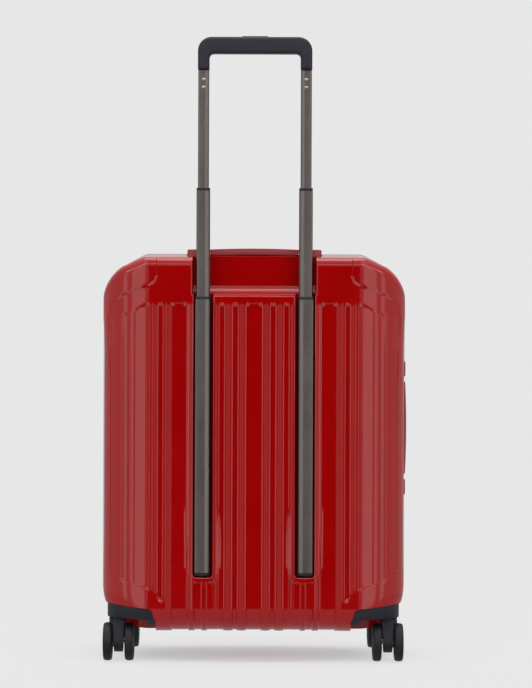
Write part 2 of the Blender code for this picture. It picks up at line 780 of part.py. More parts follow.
def make_grip():
    """The bar with its two legs, each ending in a spigot, and the button let into its top."""
    leg_end, underside, top = GRIP_Z
    inner, outer = GRIP_X
    half = [
        (outer, top, GRIP_SHOULDER),
        (outer, leg_end, GRIP_LEG_CORNER),
        (inner, leg_end, GRIP_LEG_CORNER),
        (inner, underside, GRIP_BEND),
    ]
    outline = rounded(mirrored(half), 4)
    bm = prism(outline, "Y", TUBE_Y - GRIP_DEPTH / 2, TUBE_Y + GRIP_DEPTH / 2)
    bmesh.ops.recalc_face_normals(bm, faces=bm.faces)
    ends = {edge for face in bm.faces if abs(face.normal.y) > 0.9 for edge in face.edges}
    bmesh.ops.bevel(
        bm, geom=list(ends), offset=GRIP_BEVEL, segments=2, profile=0.5, affect="EDGES"
    )
    grip = make_object("grip", bm, "dark_plastic", (0, TUBE_Y, top))
    half_x, half_y = (size / 2 for size in BUTTON_SIZE)
    low = (-half_x - RUNNING_GAP, TUBE_Y - half_y - RUNNING_GAP, BUTTON_POCKET_FLOOR)
    high = (half_x + RUNNING_GAP, TUBE_Y + half_y + RUNNING_GAP, top + BEYOND)
    combine(grip, box(low, high), "DIFFERENCE")
    for side in (-1, 1):
        section = tube_section(UPPER_TUBE, side, -TUBE_WALL - GAP)
        combine(grip, prism(section, "Z", *SPIGOT_Z), "UNION")
    bend = GRIP_BEND
    split_at(grip, (("X", bend - inner), ("X", inner - bend), ("Z", underside - bend)))
    low = (-half_x, TUBE_Y - half_y, BUTTON_Z[0])
    high = (half_x, TUBE_Y + half_y, BUTTON_Z[1])
    button = box(low, high, BUTTON_BEVEL)
    make_object("grip_button", button, "dark_plastic", (0, TUBE_Y, BUTTON_Z[1]))


# Casters


def make_bracket(name, side, hand):
    """The plate that closes the well's top, with a foot on its inner end."""
    corners = [(BRACKET_OUTER_X, BRACKET_TOP), (BRACKET_OUTER_X, BRACKET_UNDERSIDE)]
    corners += [*reversed(BRACKET_LOWER), *reversed(BRACKET_UPPER)]
    outline = [(hand * x, z) for x, z in corners]
    near_y, far_y = BRACKET_Y
    origin = (hand * CASTER_X, side * CASTER_Y, BRACKET_UNDERSIDE)
    blank = prism(outline, "Y", side * near_y, side * far_y)
    bracket = make_object(name, blank, "dark_plastic", smooth=False)
    plan = [
        (BRACKET_OUTER_X + GAP, far_y + GAP, BRACKET_CORNER_RADIUS),
        (BRACKET_OUTER_X + GAP, near_y - GAP, 0),
        (BRACKET_UPPER[-1][0] - GAP, near_y - GAP, 0),
        (BRACKET_UPPER[-1][0] - GAP, far_y + GAP, 0),
    ]
    plan_outline = [(hand * p.x, side * p.y) for p in rounded(plan, 6)]
    combine(bracket, prism(plan_outline, "Z", 0, BRACKET_TOP + BEYOND), "INTERSECT")
    swivel = (hand * CASTER_X, side * CASTER_Y, 0)
    bore = rod(KINGPIN_RADIUS + RUNNING_GAP, 0, KINGPIN_TOP + GAP, PIN_SIDES, swivel, "Z")
    combine(bracket, bore, "DIFFERENCE")
    bracket.data.transform(Matrix.Translation(-Vector(origin)))
    bracket.location = origin


def fork_leg(side, hand):
    """The leg between the wheels: from the crown back to a round end about the axle."""
    axle = Vector((CASTER_Y + TRAIL, WHEEL_RADIUS))
    outline = [(CASTER_Y - CROWN_RADIUS, CROWN_Z[1]), (CASTER_Y - CROWN_RADIUS, CROWN_Z[0])]
    start, end = FORK_END_ARC
    for step in range(FORK_END_STEPS + 1):
        angle = radians(start + (end - start) * step / FORK_END_STEPS)
        outline.append(tuple(axle + Vector((cos(angle), sin(angle))) * FORK_END_RADIUS))
    outline.append((CASTER_Y + CROWN_RADIUS, CROWN_Z[0]))
    outline.append((CASTER_Y + CROWN_RADIUS, CROWN_Z[1]))
    tip, crown = FORK_HALF_WIDTH
    tip_z = WHEEL_RADIUS - FORK_END_RADIUS
    bm = bmesh.new()
    loops = []
    for way in (-1, 1):
        loop = []
        for y, z in outline:
            half = tip + (crown - tip) * (z - tip_z) / (CROWN_Z[1] - tip_z)
            loop.append(bm.verts.new((hand * CASTER_X + way * half, side * y, z)))
        loops.append(loop)
    join_loops(bm, *loops)
    bm.faces.new(loops[0])
    bm.faces.new(loops[1])
    return bm


def make_caster(word, side, hand):
    swivel = (hand * CASTER_X, side * CASTER_Y, 0)
    hub = (hand * CASTER_X, side * (CASTER_Y + TRAIL), WHEEL_RADIUS)
    make_bracket(f"{word}_caster_bracket", side, hand)
    fork = make_object(f"{word}_caster_fork", fork_leg(side, hand), "dark_plastic", smooth=False)
    combine(fork, rod(CROWN_RADIUS, *CROWN_Z, CROWN_SIDES, swivel, "Z"), "UNION")
    combine(fork, rod(KINGPIN_RADIUS, CROWN_Z[0], KINGPIN_TOP, PIN_SIDES, swivel, "Z"), "UNION")
    bore = rod(AXLE_RADIUS + GAP, -BEYOND, BEYOND, AXLE_SIDES, hub, "X")
    combine(fork, bore, "DIFFERENCE")
    fork.data.transform(Matrix.Translation(-Vector(swivel)))
    fork.location = swivel
    axle = rod(AXLE_RADIUS, -AXLE_HALF_LENGTH, AXLE_HALF_LENGTH, AXLE_SIDES, hub, "X")
    make_object(f"{word}_caster_axle", axle, "zinc", hub)
    inner_x, outer_x = WHEEL_X
    bore_radius = AXLE_RADIUS + RUNNING_GAP
    shoulder_radius = WHEEL_RADIUS - WHEEL_SHOULDER
    profile = (
        (inner_x, bore_radius),
        (inner_x, shoulder_radius),
        (inner_x + WHEEL_SHOULDER, WHEEL_RADIUS),
        (outer_x - WHEEL_SHOULDER, WHEEL_RADIUS),
        (outer_x, shoulder_radius),
        (outer_x, bore_radius),
    )
    for place_name, way in (("inner", -hand), ("outer", hand)):
        wheel = turned([(way * along, radius) for along, radius in profile], WHEEL_SIDES, hub, "X")
        make_object(f"{word}_{place_name}_wheel", wheel, "wheel_rubber", hub)


def make_casters():
    for end, side in (("rear", -1), ("front", 1)):
        for word, hand in (("left", -1), ("right", 1)):
            make_caster(f"{end}_{word}", side, hand)


# Carry handles: drawn lying along X and rising in Z, then turned onto their wall


def handle_grip(handle):
    """An arched strap whose ends drop into tongues held captive in the mounts."""
    rise = handle["rise"]
    inner = handle["half_length"] - HANDLE_MOUNT_LENGTH
    tongue = handle["half_length"] - TONGUE_END
    edge = rise - HANDLE_MOUNT_TOP
    tongue_top = edge - HANDLE_TONGUE_DROP
    tongue_low = tongue_top - TONGUE_THICKNESS * TONGUE_END_SHARE
    quarter = (inner / 2, rise - HANDLE_MOUNT_TOP / 4)
    bend_x, drop_x, neck_x, full_x = (inner - distance for distance in HANDLE_STEPS)
    right = [
        (0, rise),
        quarter,
        (bend_x, edge),
        (drop_x, tongue_top),
        (tongue, tongue_top),
        (tongue, tongue_low),
        (drop_x - TONGUE_THICKNESS, tongue_low),
        (neck_x, edge - TONGUE_THICKNESS),
        (full_x, edge - HANDLE_THICKNESS),
        (quarter[0], quarter[1] - HANDLE_THICKNESS),
        (0, rise - HANDLE_THICKNESS),
    ]
    left = [(-x, z) for x, z in reversed(right) if x > 0]
    half = handle["width"] / 2
    return prism(right + left, "Y", -half, half)


def handle_mount(handle, way):
    """A block on the pocket's floor, hollow towards the middle for the grip's tongue."""
    top = handle["rise"] - HANDLE_MOUNT_TOP
    floor = -POCKET_DEPTH + GAP
    outer = handle["half_length"]
    inner = outer - HANDLE_MOUNT_LENGTH
    half = handle["width"] / 2 + HANDLE_MOUNT_SIDE
    low_x, high_x = sorted((way * inner, way * outer))
    blank = box((low_x, -half, floor), (high_x, half, top), HANDLE_MOUNT_BEVEL, 1)
    block = make_object("mount", blank, "handle_red")
    low_x, high_x = sorted((way * (inner - BEYOND), way * (outer - CAVITY_END)))
    half = handle["width"] / 2 + RUNNING_GAP
    low_z = top - HANDLE_TONGUE_DROP - TONGUE_THICKNESS - CAVITY_FLOOR_GAP
    cavity = box((low_x, -half, low_z), (high_x, half, top - HANDLE_MOUNT_ROOF))
    combine(block, cavity, "DIFFERENCE")
    bm = bmesh.new()
    bm.from_mesh(block.data)
    bpy.data.objects.remove(block)
    return bm


def make_handle(name, handle, turn):
    """Place a handle's grip and two mounts on a wall; the mounts are named by their end."""
    centre = handle["centre"]
    pieces = {f"{name}_grip": handle_grip(handle)}
    for word, way in (("first", -1), ("second", 1)):
        pieces[f"{name}_{word}_mount"] = handle_mount(handle, way)
    for piece_name, bm in pieces.items():
        bm.transform(Matrix.Translation(centre) @ turn)
        make_object(piece_name, bm, "handle_red", centre)


def make_handles():
    make_handle("top_handle", TOP_HANDLE, Matrix.Identity(4))
    upright = Matrix(((0, 0, 1, 0), (0, 1, 0, 0), (-1, 0, 0, 0), (0, 0, 0, 1)))
    make_handle("side_handle", SIDE_HANDLE, upright)


# Lock


def lock_box(half, x_range, z_range, bevel=0.0):
    low = (x_range[0], LOCK_Y - half, z_range[0])
    high = (x_range[1], LOCK_Y + half, z_range[1])
    return box(low, high, bevel, 1)


def make_lock():
    """The lock's housing with its dials, spindle, button and key cylinder."""
    centre = (LOCK_FACE_X, LOCK_Y, sum(LOCK_Z) / 2)
    housing = lock_box(LOCK_HALF_WIDTH, (LOCK_BACK_X, LOCK_FACE_X), LOCK_Z)
    body = make_object("lock_body", housing, "dark_plastic", smooth=False)
    axis = (DIAL_AXIS_X, LOCK_Y, 0)
    bank_low = DIAL_FIRST_Z - DIAL_PITCH / 2
    bank_high = bank_low + DIAL_COUNT * DIAL_PITCH
    combine(body, rod(DIAL_CAVITY_RADIUS, bank_low, bank_high, 24, axis, "Z"), "DIFFERENCE")
    low_z, high_z = SPINDLE_Z
    seat = rod(SPINDLE_RADIUS + GAP, low_z - GAP, high_z + GAP, SPINDLE_SIDES, axis, "Z")
    combine(body, seat, "DIFFERENCE")
    button_x = (LOCK_BUTTON_X[0] - LOCK_BUTTON_TRAVEL, HALF_WIDTH + BEYOND)
    button_z = (LOCK_BUTTON_Z[0] - RUNNING_GAP, LOCK_BUTTON_Z[1] + RUNNING_GAP)
    pocket = lock_box(LOCK_BUTTON_HALF_WIDTH + RUNNING_GAP, button_x, button_z)
    combine(body, pocket, "DIFFERENCE")
    key_axis = (0, LOCK_Y, KEY_Z)
    key_back, key_face = KEY_X
    bore = rod(KEY_RADIUS + RUNNING_GAP, key_back - GAP, HALF_WIDTH + BEYOND, PIN_SIDES, key_axis, "X")
    combine(body, bore, "DIFFERENCE")
    body.data.transform(Matrix.Translation(-Vector(centre)))
    body.location = centre
    spindle = rod(SPINDLE_RADIUS, low_z, high_z, SPINDLE_SIDES, axis, "Z")
    make_object("lock_spindle", spindle, "zinc", (DIAL_AXIS_X, LOCK_Y, low_z))
    for index in range(DIAL_COUNT):
        make_dial(index)
    button = lock_box(LOCK_BUTTON_HALF_WIDTH, LOCK_BUTTON_X, LOCK_BUTTON_Z, LOCK_BUTTON_BEVEL)
    button_origin = (LOCK_BUTTON_X[1], LOCK_Y, sum(LOCK_BUTTON_Z) / 2)
    make_object("lock_button", button, "dark_plastic", button_origin)
    key = rod(KEY_RADIUS, key_back, key_face, PIN_SIDES, key_axis, "X")
    make_object("key_cylinder", key, "zinc", (key_back, LOCK_Y, KEY_Z))


def make_dial(index):
    centre = (DIAL_AXIS_X, LOCK_Y, DIAL_FIRST_Z + index * DIAL_PITCH)
    half = DIAL_THICKNESS / 2
    bore = SPINDLE_RADIUS + RUNNING_GAP
    profile = ((-half, bore), (-half, DIAL_RADIUS), (half, DIAL_RADIUS), (half, bore))
    dial = turned(profile, DIAL_SIDES, centre, "Z")
    make_object(f"lock_dial_{index + 1}", dial, "dark_plastic", centre)


def main():
    clear_scene()
    make_shells()
    make_linings()
    make_zip()
    make_trolley()
    make_casters()
    make_handles()
    make_lock()


main()
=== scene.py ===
"""The looks of the hard shell suitcase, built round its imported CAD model.

Metres, +Z up. The rear shell with the trolley faces -Y, the front shell +Y, and the case opens
about its -X wall.
"""

from functools import partial
from math import asin, atan2, cos, pi, radians, sin, tan

import bmesh
import bpy
import numpy as np
from mathutils import Matrix, Vector


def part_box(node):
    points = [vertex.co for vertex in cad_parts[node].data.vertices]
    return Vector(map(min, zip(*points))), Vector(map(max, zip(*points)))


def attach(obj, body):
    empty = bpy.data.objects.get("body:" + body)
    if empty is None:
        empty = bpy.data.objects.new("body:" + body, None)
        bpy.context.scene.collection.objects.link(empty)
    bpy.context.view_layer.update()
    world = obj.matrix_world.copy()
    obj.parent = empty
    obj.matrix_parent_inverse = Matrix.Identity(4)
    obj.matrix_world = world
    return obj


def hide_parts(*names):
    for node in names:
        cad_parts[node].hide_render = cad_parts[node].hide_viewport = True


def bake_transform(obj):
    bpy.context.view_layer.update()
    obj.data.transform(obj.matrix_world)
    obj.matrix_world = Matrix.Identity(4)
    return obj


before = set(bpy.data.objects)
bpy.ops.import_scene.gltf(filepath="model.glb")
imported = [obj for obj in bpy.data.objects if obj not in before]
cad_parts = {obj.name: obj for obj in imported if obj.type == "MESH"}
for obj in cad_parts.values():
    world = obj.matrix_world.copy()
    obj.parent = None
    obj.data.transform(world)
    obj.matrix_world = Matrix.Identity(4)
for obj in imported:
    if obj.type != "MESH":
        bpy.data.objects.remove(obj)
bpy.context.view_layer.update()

# Shell form, as in the CAD
rear_low, rear_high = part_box("rear_shell")
HALF_WIDTH = rear_high.x
TOP = rear_high.z
BOTTOM = rear_low.z
RIB_HEIGHT = 0.0015
FACE_Y = -rear_low.y - RIB_HEIGHT
RIM_Y = -rear_high.y
STRAIGHT_Y = 0.022
WALL = 0.0026
DRAFT = tan(radians(5.5))
RIM_CORNERS = (
    (0.143, TOP, 0.020),
    (HALF_WIDTH, 0.504, 0.060),
    (HALF_WIDTH, BOTTOM, 0.060),
)
RIM_STEPS = 18
FACE_HALF = 0.137
FACE_TOP = 0.514
FACE_BOTTOM = 0.070
TOP_DEPTH = 0.010
SIDE_DEPTH = 0.050
BOTTOM_DEPTH = 0.040
EDGE_BLEND = 0.0126
CORNER_Y = FACE_Y - SIDE_DEPTH
CORNER_REACH = HALF_WIDTH - FACE_HALF - DRAFT * (CORNER_Y - STRAIGHT_Y)
CORNER_MEAN = (CORNER_REACH + SIDE_DEPTH) / 2

# Ribs and lips on the face: edges along X; round the corner: angles from the side wall
REAR_RIBS = ((0.0103, 0.0212), (0.0278, 0.0389), (0.1072, 0.1187), (0.1245, 0.1362))
FRONT_RIBS = (
    (0.0103, 0.0212), (0.0278, 0.0389), (0.0588, 0.0702), (0.0762, 0.0876),
    (0.1072, 0.1187), (0.1245, 0.1362),
)
CORNER_RIBS = ((72.3, 63.2), (54.2, 41.5), (32.0, 19.0))
LIPS = ((0.0450, 0.0527), (0.0797, 0.0877))
FLANK = 0.0009
CROWN = 0.00036
CROWN_POWER = 1.05
GROOVE_TOP = 0.4690
GROOVE_TOP_FLANK = 0.0035
GROOVE_CORNER = 0.0035
GROOVE_LOWER_CORNER = GROOVE_CORNER * 0.6
TOP_FADE = 0.006
CROWN_FADE = 0.005
GROOVE_SLOPE_FROM = 0.138
GROOVE_SLOPE = 0.0212 / 0.046
GROOVE_TOP_LOWEST = 0.4470

REAR, FRONT = -1, 1
BEYOND = 0.03
GAP = 0.0003
MIDDLE_Z = 0.28

# The lower edge of the grooves next to the smooth corner round each caster: x, z
PATCH_EDGE = (
    (0.1144, 0.0660), (0.1174, 0.0753), (0.1324, 0.0922), (0.1428, 0.0974),
    (0.1623, 0.1033), (0.1800, 0.1090), (0.1890, 0.1195), (0.2000, 0.1300),
)
# The edge of the raised panel on each top corner: x, z
PANEL_EDGE_X = 0.1267
PANEL_EDGE = (
    (0.1200, 0.4970), (0.1675, 0.4797), (0.1863, 0.4654), (0.1885, 0.4460), (0.2000, 0.4440),
)
PANEL_RISE = 0.0013
PANEL_CORNER = 0.008
PANEL_FLANK = 0.0010
PANEL_FROM = 0.1

# Trolley channels and the recess for the grip
CHANNEL_X = (0.0533, 0.0790)
CHANNEL_FLOOR_Y = 0.0805
CHANNEL_BOTTOM = 0.1110
CHANNEL_LIP = 0.0072
LIP_CORNER = 0.005
LIP_MARGIN = 0.001
LIP_ZONE_TOP = 0.16
YOKE_HALF_WIDTH = 0.0807
YOKE_WALL_Y = 0.071
YOKE_FLOOR = (0.4771, 0.4903)
CHANNEL_TOP = 0.4974
BELOW_CHANNEL_RIBS = ((0.0600, 0.0687), (0.0762, 0.0855))


# Small helpers


def smooth_step(t):
    t = np.clip(t, 0, 1)
    return t * t * (3 - 2 * t)


def rounded(corners, steps=6):
    """The closed outline through corners (u, v, radius), with an arc at each one that has one."""
    outline = []
    for index, (u, v, radius) in enumerate(corners):
        here = Vector((u, v))
        if radius == 0:
            outline.append(here)
            continue
        following = corners[(index + 1) % len(corners)]
        back = (Vector(corners[index - 1][:2]) - here).normalized()
        ahead = (Vector(following[:2]) - here).normalized()
        half = back.angle(ahead) / 2
        centre = here + (back + ahead).normalized() * radius / sin(half)
        first = here + back * radius / tan(half) - centre
        last = here + ahead * radius / tan(half) - centre
        sweep = atan2(first.x * last.y - first.y * last.x, first.dot(last))
        for step in range(steps + 1):
            outline.append(centre + Matrix.Rotation(sweep * step / steps, 2) @ first)
    return outline


def rectangle(low, high, radius=0.0):
    return [
        (high[0], high[1], radius), (high[0], low[1], radius),
        (low[0], low[1], radius), (low[0], high[1], radius),
    ]


def circle(centre, radius, steps):
    outline = []
    for step in range(steps):
        angle = 2 * pi * (step + 0.5) / steps
        outline.append((centre[0] + radius * cos(angle), centre[1] + radius * sin(angle)))
    return outline


def place(point, axis, level):
    u, v = point
    return {"X": (level, u, v), "Y": (u, level, v), "Z": (u, v, level)}[axis]


def both_sides(corners):
    """The right half's corners, (x, z, radius), and the left half's after them."""
    return [*corners, *[(-x, z, r) for x, z, r in reversed(corners)]]


def handed(corners, hand, steps=6, side=1):
    """A rounded outline drawn for the right and the front, turned to the hand and side wanted."""
    return [(hand * p.x, side * p.y) for p in rounded(corners, steps)]


def across(point, axis):
    """The two coordinates of a point that lie across an axis."""
    return {"X": (point.y, point.z), "Y": (point.x, point.z), "Z": (point.x, point.y)}[axis]


def middle_of(low, high):
    return Vector([(a + b) / 2 for a, b in zip(low, high)])


def join_loops(bm, first, second):
    for index in range(len(first)):
        following = (index + 1) % len(first)
        bm.faces.new((first[index], first[following], second[following], second[index]))


def join_rows(bm, rows):
    """Faces between rows of points that stay open at their ends."""
    for first, second in zip(rows, rows[1:]):
        for index in range(len(first) - 1):
            bm.faces.new((first[index], first[index + 1], second[index + 1], second[index]))


def join_chain(bm, loops):
    for first, second in zip(loops, loops[1:]):
        join_loops(bm, first, second)


def close_ring(bm, loops):
    """Join loops in their order, and the last one back to the first."""
    join_chain(bm, [*loops, loops[0]])
    return bm


def close_body(bm, loops):
    """Join loops in their order and cap both ends."""
    join_chain(bm, loops)
    bm.faces.new(loops[0])
    bm.faces.new(loops[-1])
    return bm


def fan_to(bm, loop, point):
    """Close a loop with triangles that meet in a point."""
    tip = bm.verts.new(point)
    for index in range(len(loop)):
        bm.faces.new((loop[index], loop[(index + 1) % len(loop)], tip))


def loft(outlines, axis, levels):
    """A closed body through outlines with the same number of points, one at each level."""
    bm = bmesh.new()
    loops = []
    for outline, level in zip(outlines, levels):
        loops.append([bm.verts.new(place(p, axis, level)) for p in outline])
    return close_body(bm, loops)


def prism(outline, axis, low, high):
    return loft([outline, outline], axis, (low, high))


def hollow_for(low, high, gap, radius, axis, start, end):
    """The cutter of a pocket that leaves a gap round a rectangle with rounded corners."""
    corners = rectangle((low[0] - gap, low[1] - gap), (high[0] + gap, high[1] + gap), radius)
    return prism(rounded(corners), axis, start, end)


# How an edge is eased: in from the side, down from the face
EASED_EDGE = ((0, 0.0009), (0.0003, 0.0003), (0.0010, 0))


def eased(low, high, edge=EASED_EDGE):
    """Steps of (inset, level) from the foot up to an eased edge."""
    return [(0, low), *[(inset, high - drop) for inset, drop in edge]]


def stacked(axis, low, high, radius, steps, shrink=False):
    """A rectangular block with rounded corners through steps of (inset, level)."""
    outlines = []
    for inset, _ in steps:
        corner = radius - inset if shrink else radius
        inner_low = (low[0] + inset, low[1] + inset)
        inner_high = (high[0] - inset, high[1] - inset)
        outlines.append(rounded(rectangle(inner_low, inner_high, corner)))
    return loft(outlines, axis, [level for _, level in steps])


def finish_mesh(bm, name, sharp=35):
    bmesh.ops.recalc_face_normals(bm, faces=bm.faces)
    if bm.calc_volume(signed=True) < 0:
        bmesh.ops.reverse_faces(bm, faces=bm.faces)
    mesh = bpy.data.meshes.new(name)
    bm.to_mesh(mesh)
    bm.free()
    mesh.shade_smooth()
    mesh.set_sharp_from_angle(angle=radians(sharp))
    return mesh


def make_object(name, bm, material=None, sharp=35):
    mesh = finish_mesh(bm, name, sharp)
    if material:
        mesh.materials.append(material)
    thing = bpy.data.objects.new(name, mesh)
    bpy.context.scene.collection.objects.link(thing)
    return thing


def combine(target, tool_mesh, operation):
    """Cut `target` with a closed mesh, or join it, and keep only the result."""
    tool = make_object("tool", tool_mesh)
    modifier = target.modifiers.new(operation, "BOOLEAN")
    modifier.operation = operation
    modifier.solver = "EXACT"
    modifier.object = tool
    bpy.context.view_layer.update()
    evaluated = target.evaluated_get(bpy.context.evaluated_depsgraph_get())
    result = bpy.data.meshes.new_from_object(evaluated)
    materials = list(target.data.materials)
    target.modifiers.clear()
    target.data = result
    result.materials.clear()
    for material in materials:
        result.materials.append(material)
    bpy.data.objects.remove(tool)


def settle(thing, sharp=35):
    """Smooth shading with crisp edges, after the booleans."""
    mesh = thing.data
    mesh.shade_smooth()
    mesh.set_sharp_from_angle(angle=radians(sharp))
    return thing


def piece(thing, body, slot, *nodes):
    """Give a finished piece its CAD body, and hide the CAD nodes that it stands for. The slot is
    not used.
    """
    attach(thing, body)
    if nodes:
        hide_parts(*nodes)
    return thing


# Materials


def new_material(name):
    material = bpy.data.materials.new(name)
    material.use_nodes = True
    tree = material.node_tree
    return material, tree, tree.nodes["Principled BSDF"]


def new_node(tree, kind, **inputs):
    """A shader node whose named inputs are linked to a socket or set to a value."""
    node = tree.nodes.new("ShaderNode" + kind)
    for name, value in inputs.items():
        socket = node.inputs[name.replace("_", " ")]
        if isinstance(value, bpy.types.NodeSocket):
            tree.links.new(value, socket)
        else:
            socket.default_value = value
    return node


def noise(tree, scale, stretch=None):
    """Noise in object space, stretched along an axis if asked for."""
    where = new_node(tree, "TexCoord").outputs["Object"]
    mapping = new_node(tree, "Mapping", Vector=where, Scale=stretch or (1, 1, 1))
    texture = new_node(tree, "TexNoise", Vector=mapping.outputs["Vector"], Scale=scale,
                       Detail=4, Roughness=0.6)
    return texture.outputs["Fac"]


def spread(tree, value, low, high, from_low=0.3, from_high=0.7):
    """Map a noise value to a range."""
    node = new_node(tree, "MapRange", Value=value, From_Min=from_low, From_Max=from_high,
                    To_Min=low, To_Max=high)
    return node.outputs["Result"]


def tint(tree, value, dark, light):
    """A colour between two by a noise value."""
    ramp = new_node(tree, "ValToRGB", Fac=value)
    for element, position, colour in zip(ramp.color_ramp.elements, (0.3, 0.7), (dark, light)):
        element.position = position
        element.color = (*colour, 1)
    return ramp.outputs["Color"]


def bump(tree, shader, value, strength, distance):
    node = new_node(tree, "Bump", Strength=strength, Distance=distance, Height=value)
    tree.links.new(node.outputs["Normal"], shader.inputs["Normal"])


def textured(name, dark, light, roughness, metallic=0.0, grain=(900, 0.15, 0.0002), patches=14,
             stretch=None, specular=0.5):
    """A finish with slow colour and gloss changes over the surface and a fine grain."""
    material, tree, shader = new_material(name)
    slow = noise(tree, patches)
    fine = noise(tree, grain[0], stretch)
    colour = tint(tree, fine if stretch else slow, dark, light)
    tree.links.new(colour, shader.inputs["Base Color"])
    tree.links.new(spread(tree, slow, *roughness), shader.inputs["Roughness"])
    shader.inputs["Metallic"].default_value = metallic
    shader.inputs["Specular IOR Level"].default_value = specular
    bump(tree, shader, fine, grain[1], grain[2])
    return material


def make_materials():
    return {
        "shell": textured("glossy_polycarbonate", (0.292, 0.0003, 0.0006), (0.316, 0.0004, 0.0008),
                          (0.055, 0.085), grain=(260, 0.02, 0.0002)),
        "handle_red": textured("handle_red_plastic", (0.230, 0.003, 0.006), (0.262, 0.004, 0.008),
                               (0.30, 0.40), grain=(1400, 0.15, 0.0001)),
        "tube": textured("brushed_gunmetal", (0.105, 0.091, 0.086), (0.145, 0.126, 0.120),
                         (0.26, 0.34), metallic=1.0, grain=(60, 0.05, 0.0001), stretch=(40, 40, 1)),
        "stud": textured("bright_stud", (0.40, 0.38, 0.35), (0.50, 0.48, 0.45),
                         (0.22, 0.30), metallic=1.0),
        "plastic": textured("moulded_dark_plastic", (0.008, 0.008, 0.014), (0.013, 0.013, 0.020),
                            (0.48, 0.60), grain=(1600, 0.25, 0.0001), specular=0.28),
        "rubber": textured("wheel_polyurethane", (0.005, 0.005, 0.006), (0.009, 0.009, 0.010),
                           (0.48, 0.62), grain=(900, 0.2, 0.0001), specular=0.28),
        "hub": textured("wheel_hub_plastic", (0.008, 0.008, 0.010), (0.013, 0.013, 0.016),
                        (0.42, 0.54), grain=(1500, 0.2, 0.0001), specular=0.3),
        "fabric": textured("lining_fabric", (0.030, 0.031, 0.036), (0.050, 0.052, 0.058),
                           (0.8, 0.95), grain=(1800, 0.6, 0.0003), patches=60),
        "tape": textured("zip_tape_weave", (0.008, 0.008, 0.009), (0.018, 0.018, 0.020),
                         (0.75, 0.9), grain=(2400, 0.6, 0.0003), patches=200),
        "teeth": textured("zip_teeth", (0.012, 0.012, 0.013), (0.024, 0.024, 0.026),
                          (0.35, 0.5), grain=(900, 0.2, 0.0001)),
        "dial": textured("dial_plastic", (0.030, 0.030, 0.032), (0.045, 0.045, 0.048),
                         (0.4, 0.5), grain=(1500, 0.2, 0.0001)),
        "zinc": textured("satin_zinc", (0.30, 0.30, 0.31), (0.42, 0.42, 0.43),
                         (0.22, 0.34), metallic=1.0, grain=(700, 0.08, 0.0001)),
    }


# The shells' outer form


def rim_outline(wall):
    """The right half of the rim's outline, from the top's middle to the bottom's, clockwise."""
    half = [p for p in rounded(both_sides(RIM_CORNERS), RIM_STEPS) if p.x > 0]
    half = [Vector((0, TOP)), *half, Vector((0, BOTTOM))]
    if wall:
        moved = []
        for index, point in enumerate(half):
            before = half[max(index - 1, 0)]
            after = half[min(index + 1, len(half) - 1)]
            along = (after - before).normalized()
            moved.append(point + Vector((-along.y, along.x)) * -wall)
        half = moved
    return np.array([tuple(p) for p in half])


def plan_distance(x, y, wall):
    """Signed distance from the plan section, and its normal's x and y, at |x| and |y|."""
    over = np.maximum(y - STRAIGHT_Y, 0)
    side = x - (HALF_WIDTH - DRAFT * over)
    face = y - FACE_Y
    u = (x - FACE_HALF) / CORNER_REACH
    v = (y - CORNER_Y) / SIDE_DEPTH
    reach = np.hypot(u, v) + 1e-9
    nx = u / reach / CORNER_REACH
    ny = v / reach / SIDE_DEPTH
    slope = np.hypot(nx, ny)
    ellipse = (reach - 1) / np.maximum(slope, 1)
    corner = (x > FACE_HALF) & (y > CORNER_Y)
    distance = np.where(corner, ellipse, np.where(y <= CORNER_Y, np.maximum(side, face), face))
    on_side = (y <= CORNER_Y) & (side > face)
    nx = np.where(corner, nx / np.maximum(slope, 1e-9), on_side * 1.0)
    ny = np.where(corner, ny / np.maximum(slope, 1e-9), ~on_side * 1.0)
    return distance + wall, nx, ny


def outline_distance(x, z, y, rim):
    """Signed distance from the drafted outline, and the normal's x and z, at |x| and |y|."""
    start, end = rim[:-1], rim[1:]
    along = end - start
    along = along / np.linalg.norm(along, axis=1, keepdims=True)
    normals = np.stack([-along[:, 1], along[:, 0]], axis=1)
    offsets = (normals * start).sum(axis=1)
    reach = x[:, None] * normals[:, 0] + z[:, None] * normals[:, 1] - offsets
    best = reach.argmax(axis=1)
    distance = reach[np.arange(len(x)), best] + DRAFT * np.maximum(y - STRAIGHT_Y, 0)
    return distance, normals[best, 0], normals[best, 1]


def outside(points, rim, wall):
    """Above nought outside the rounded body: its plan section cut by its outline, blended."""
    x, y, z = points.T
    a, ax, ay = plan_distance(x, y, wall)
    b, bx, _ = outline_distance(x, z, y, rim)
    turn = np.clip(ax * bx + ay * DRAFT, 0, 1)
    blend = EDGE_BLEND * (1 - turn) + 1e-6
    share = np.maximum(blend - np.abs(a - b), 0) / blend
    return np.maximum(a, b) + share * share * blend / 4


FAN = 12  # columns round each corner of the face
TOP_FAN_PACE = 1.2
UPPER_PART = 0.42  # above it the band follows the blended edge of the top
HALVINGS = 26


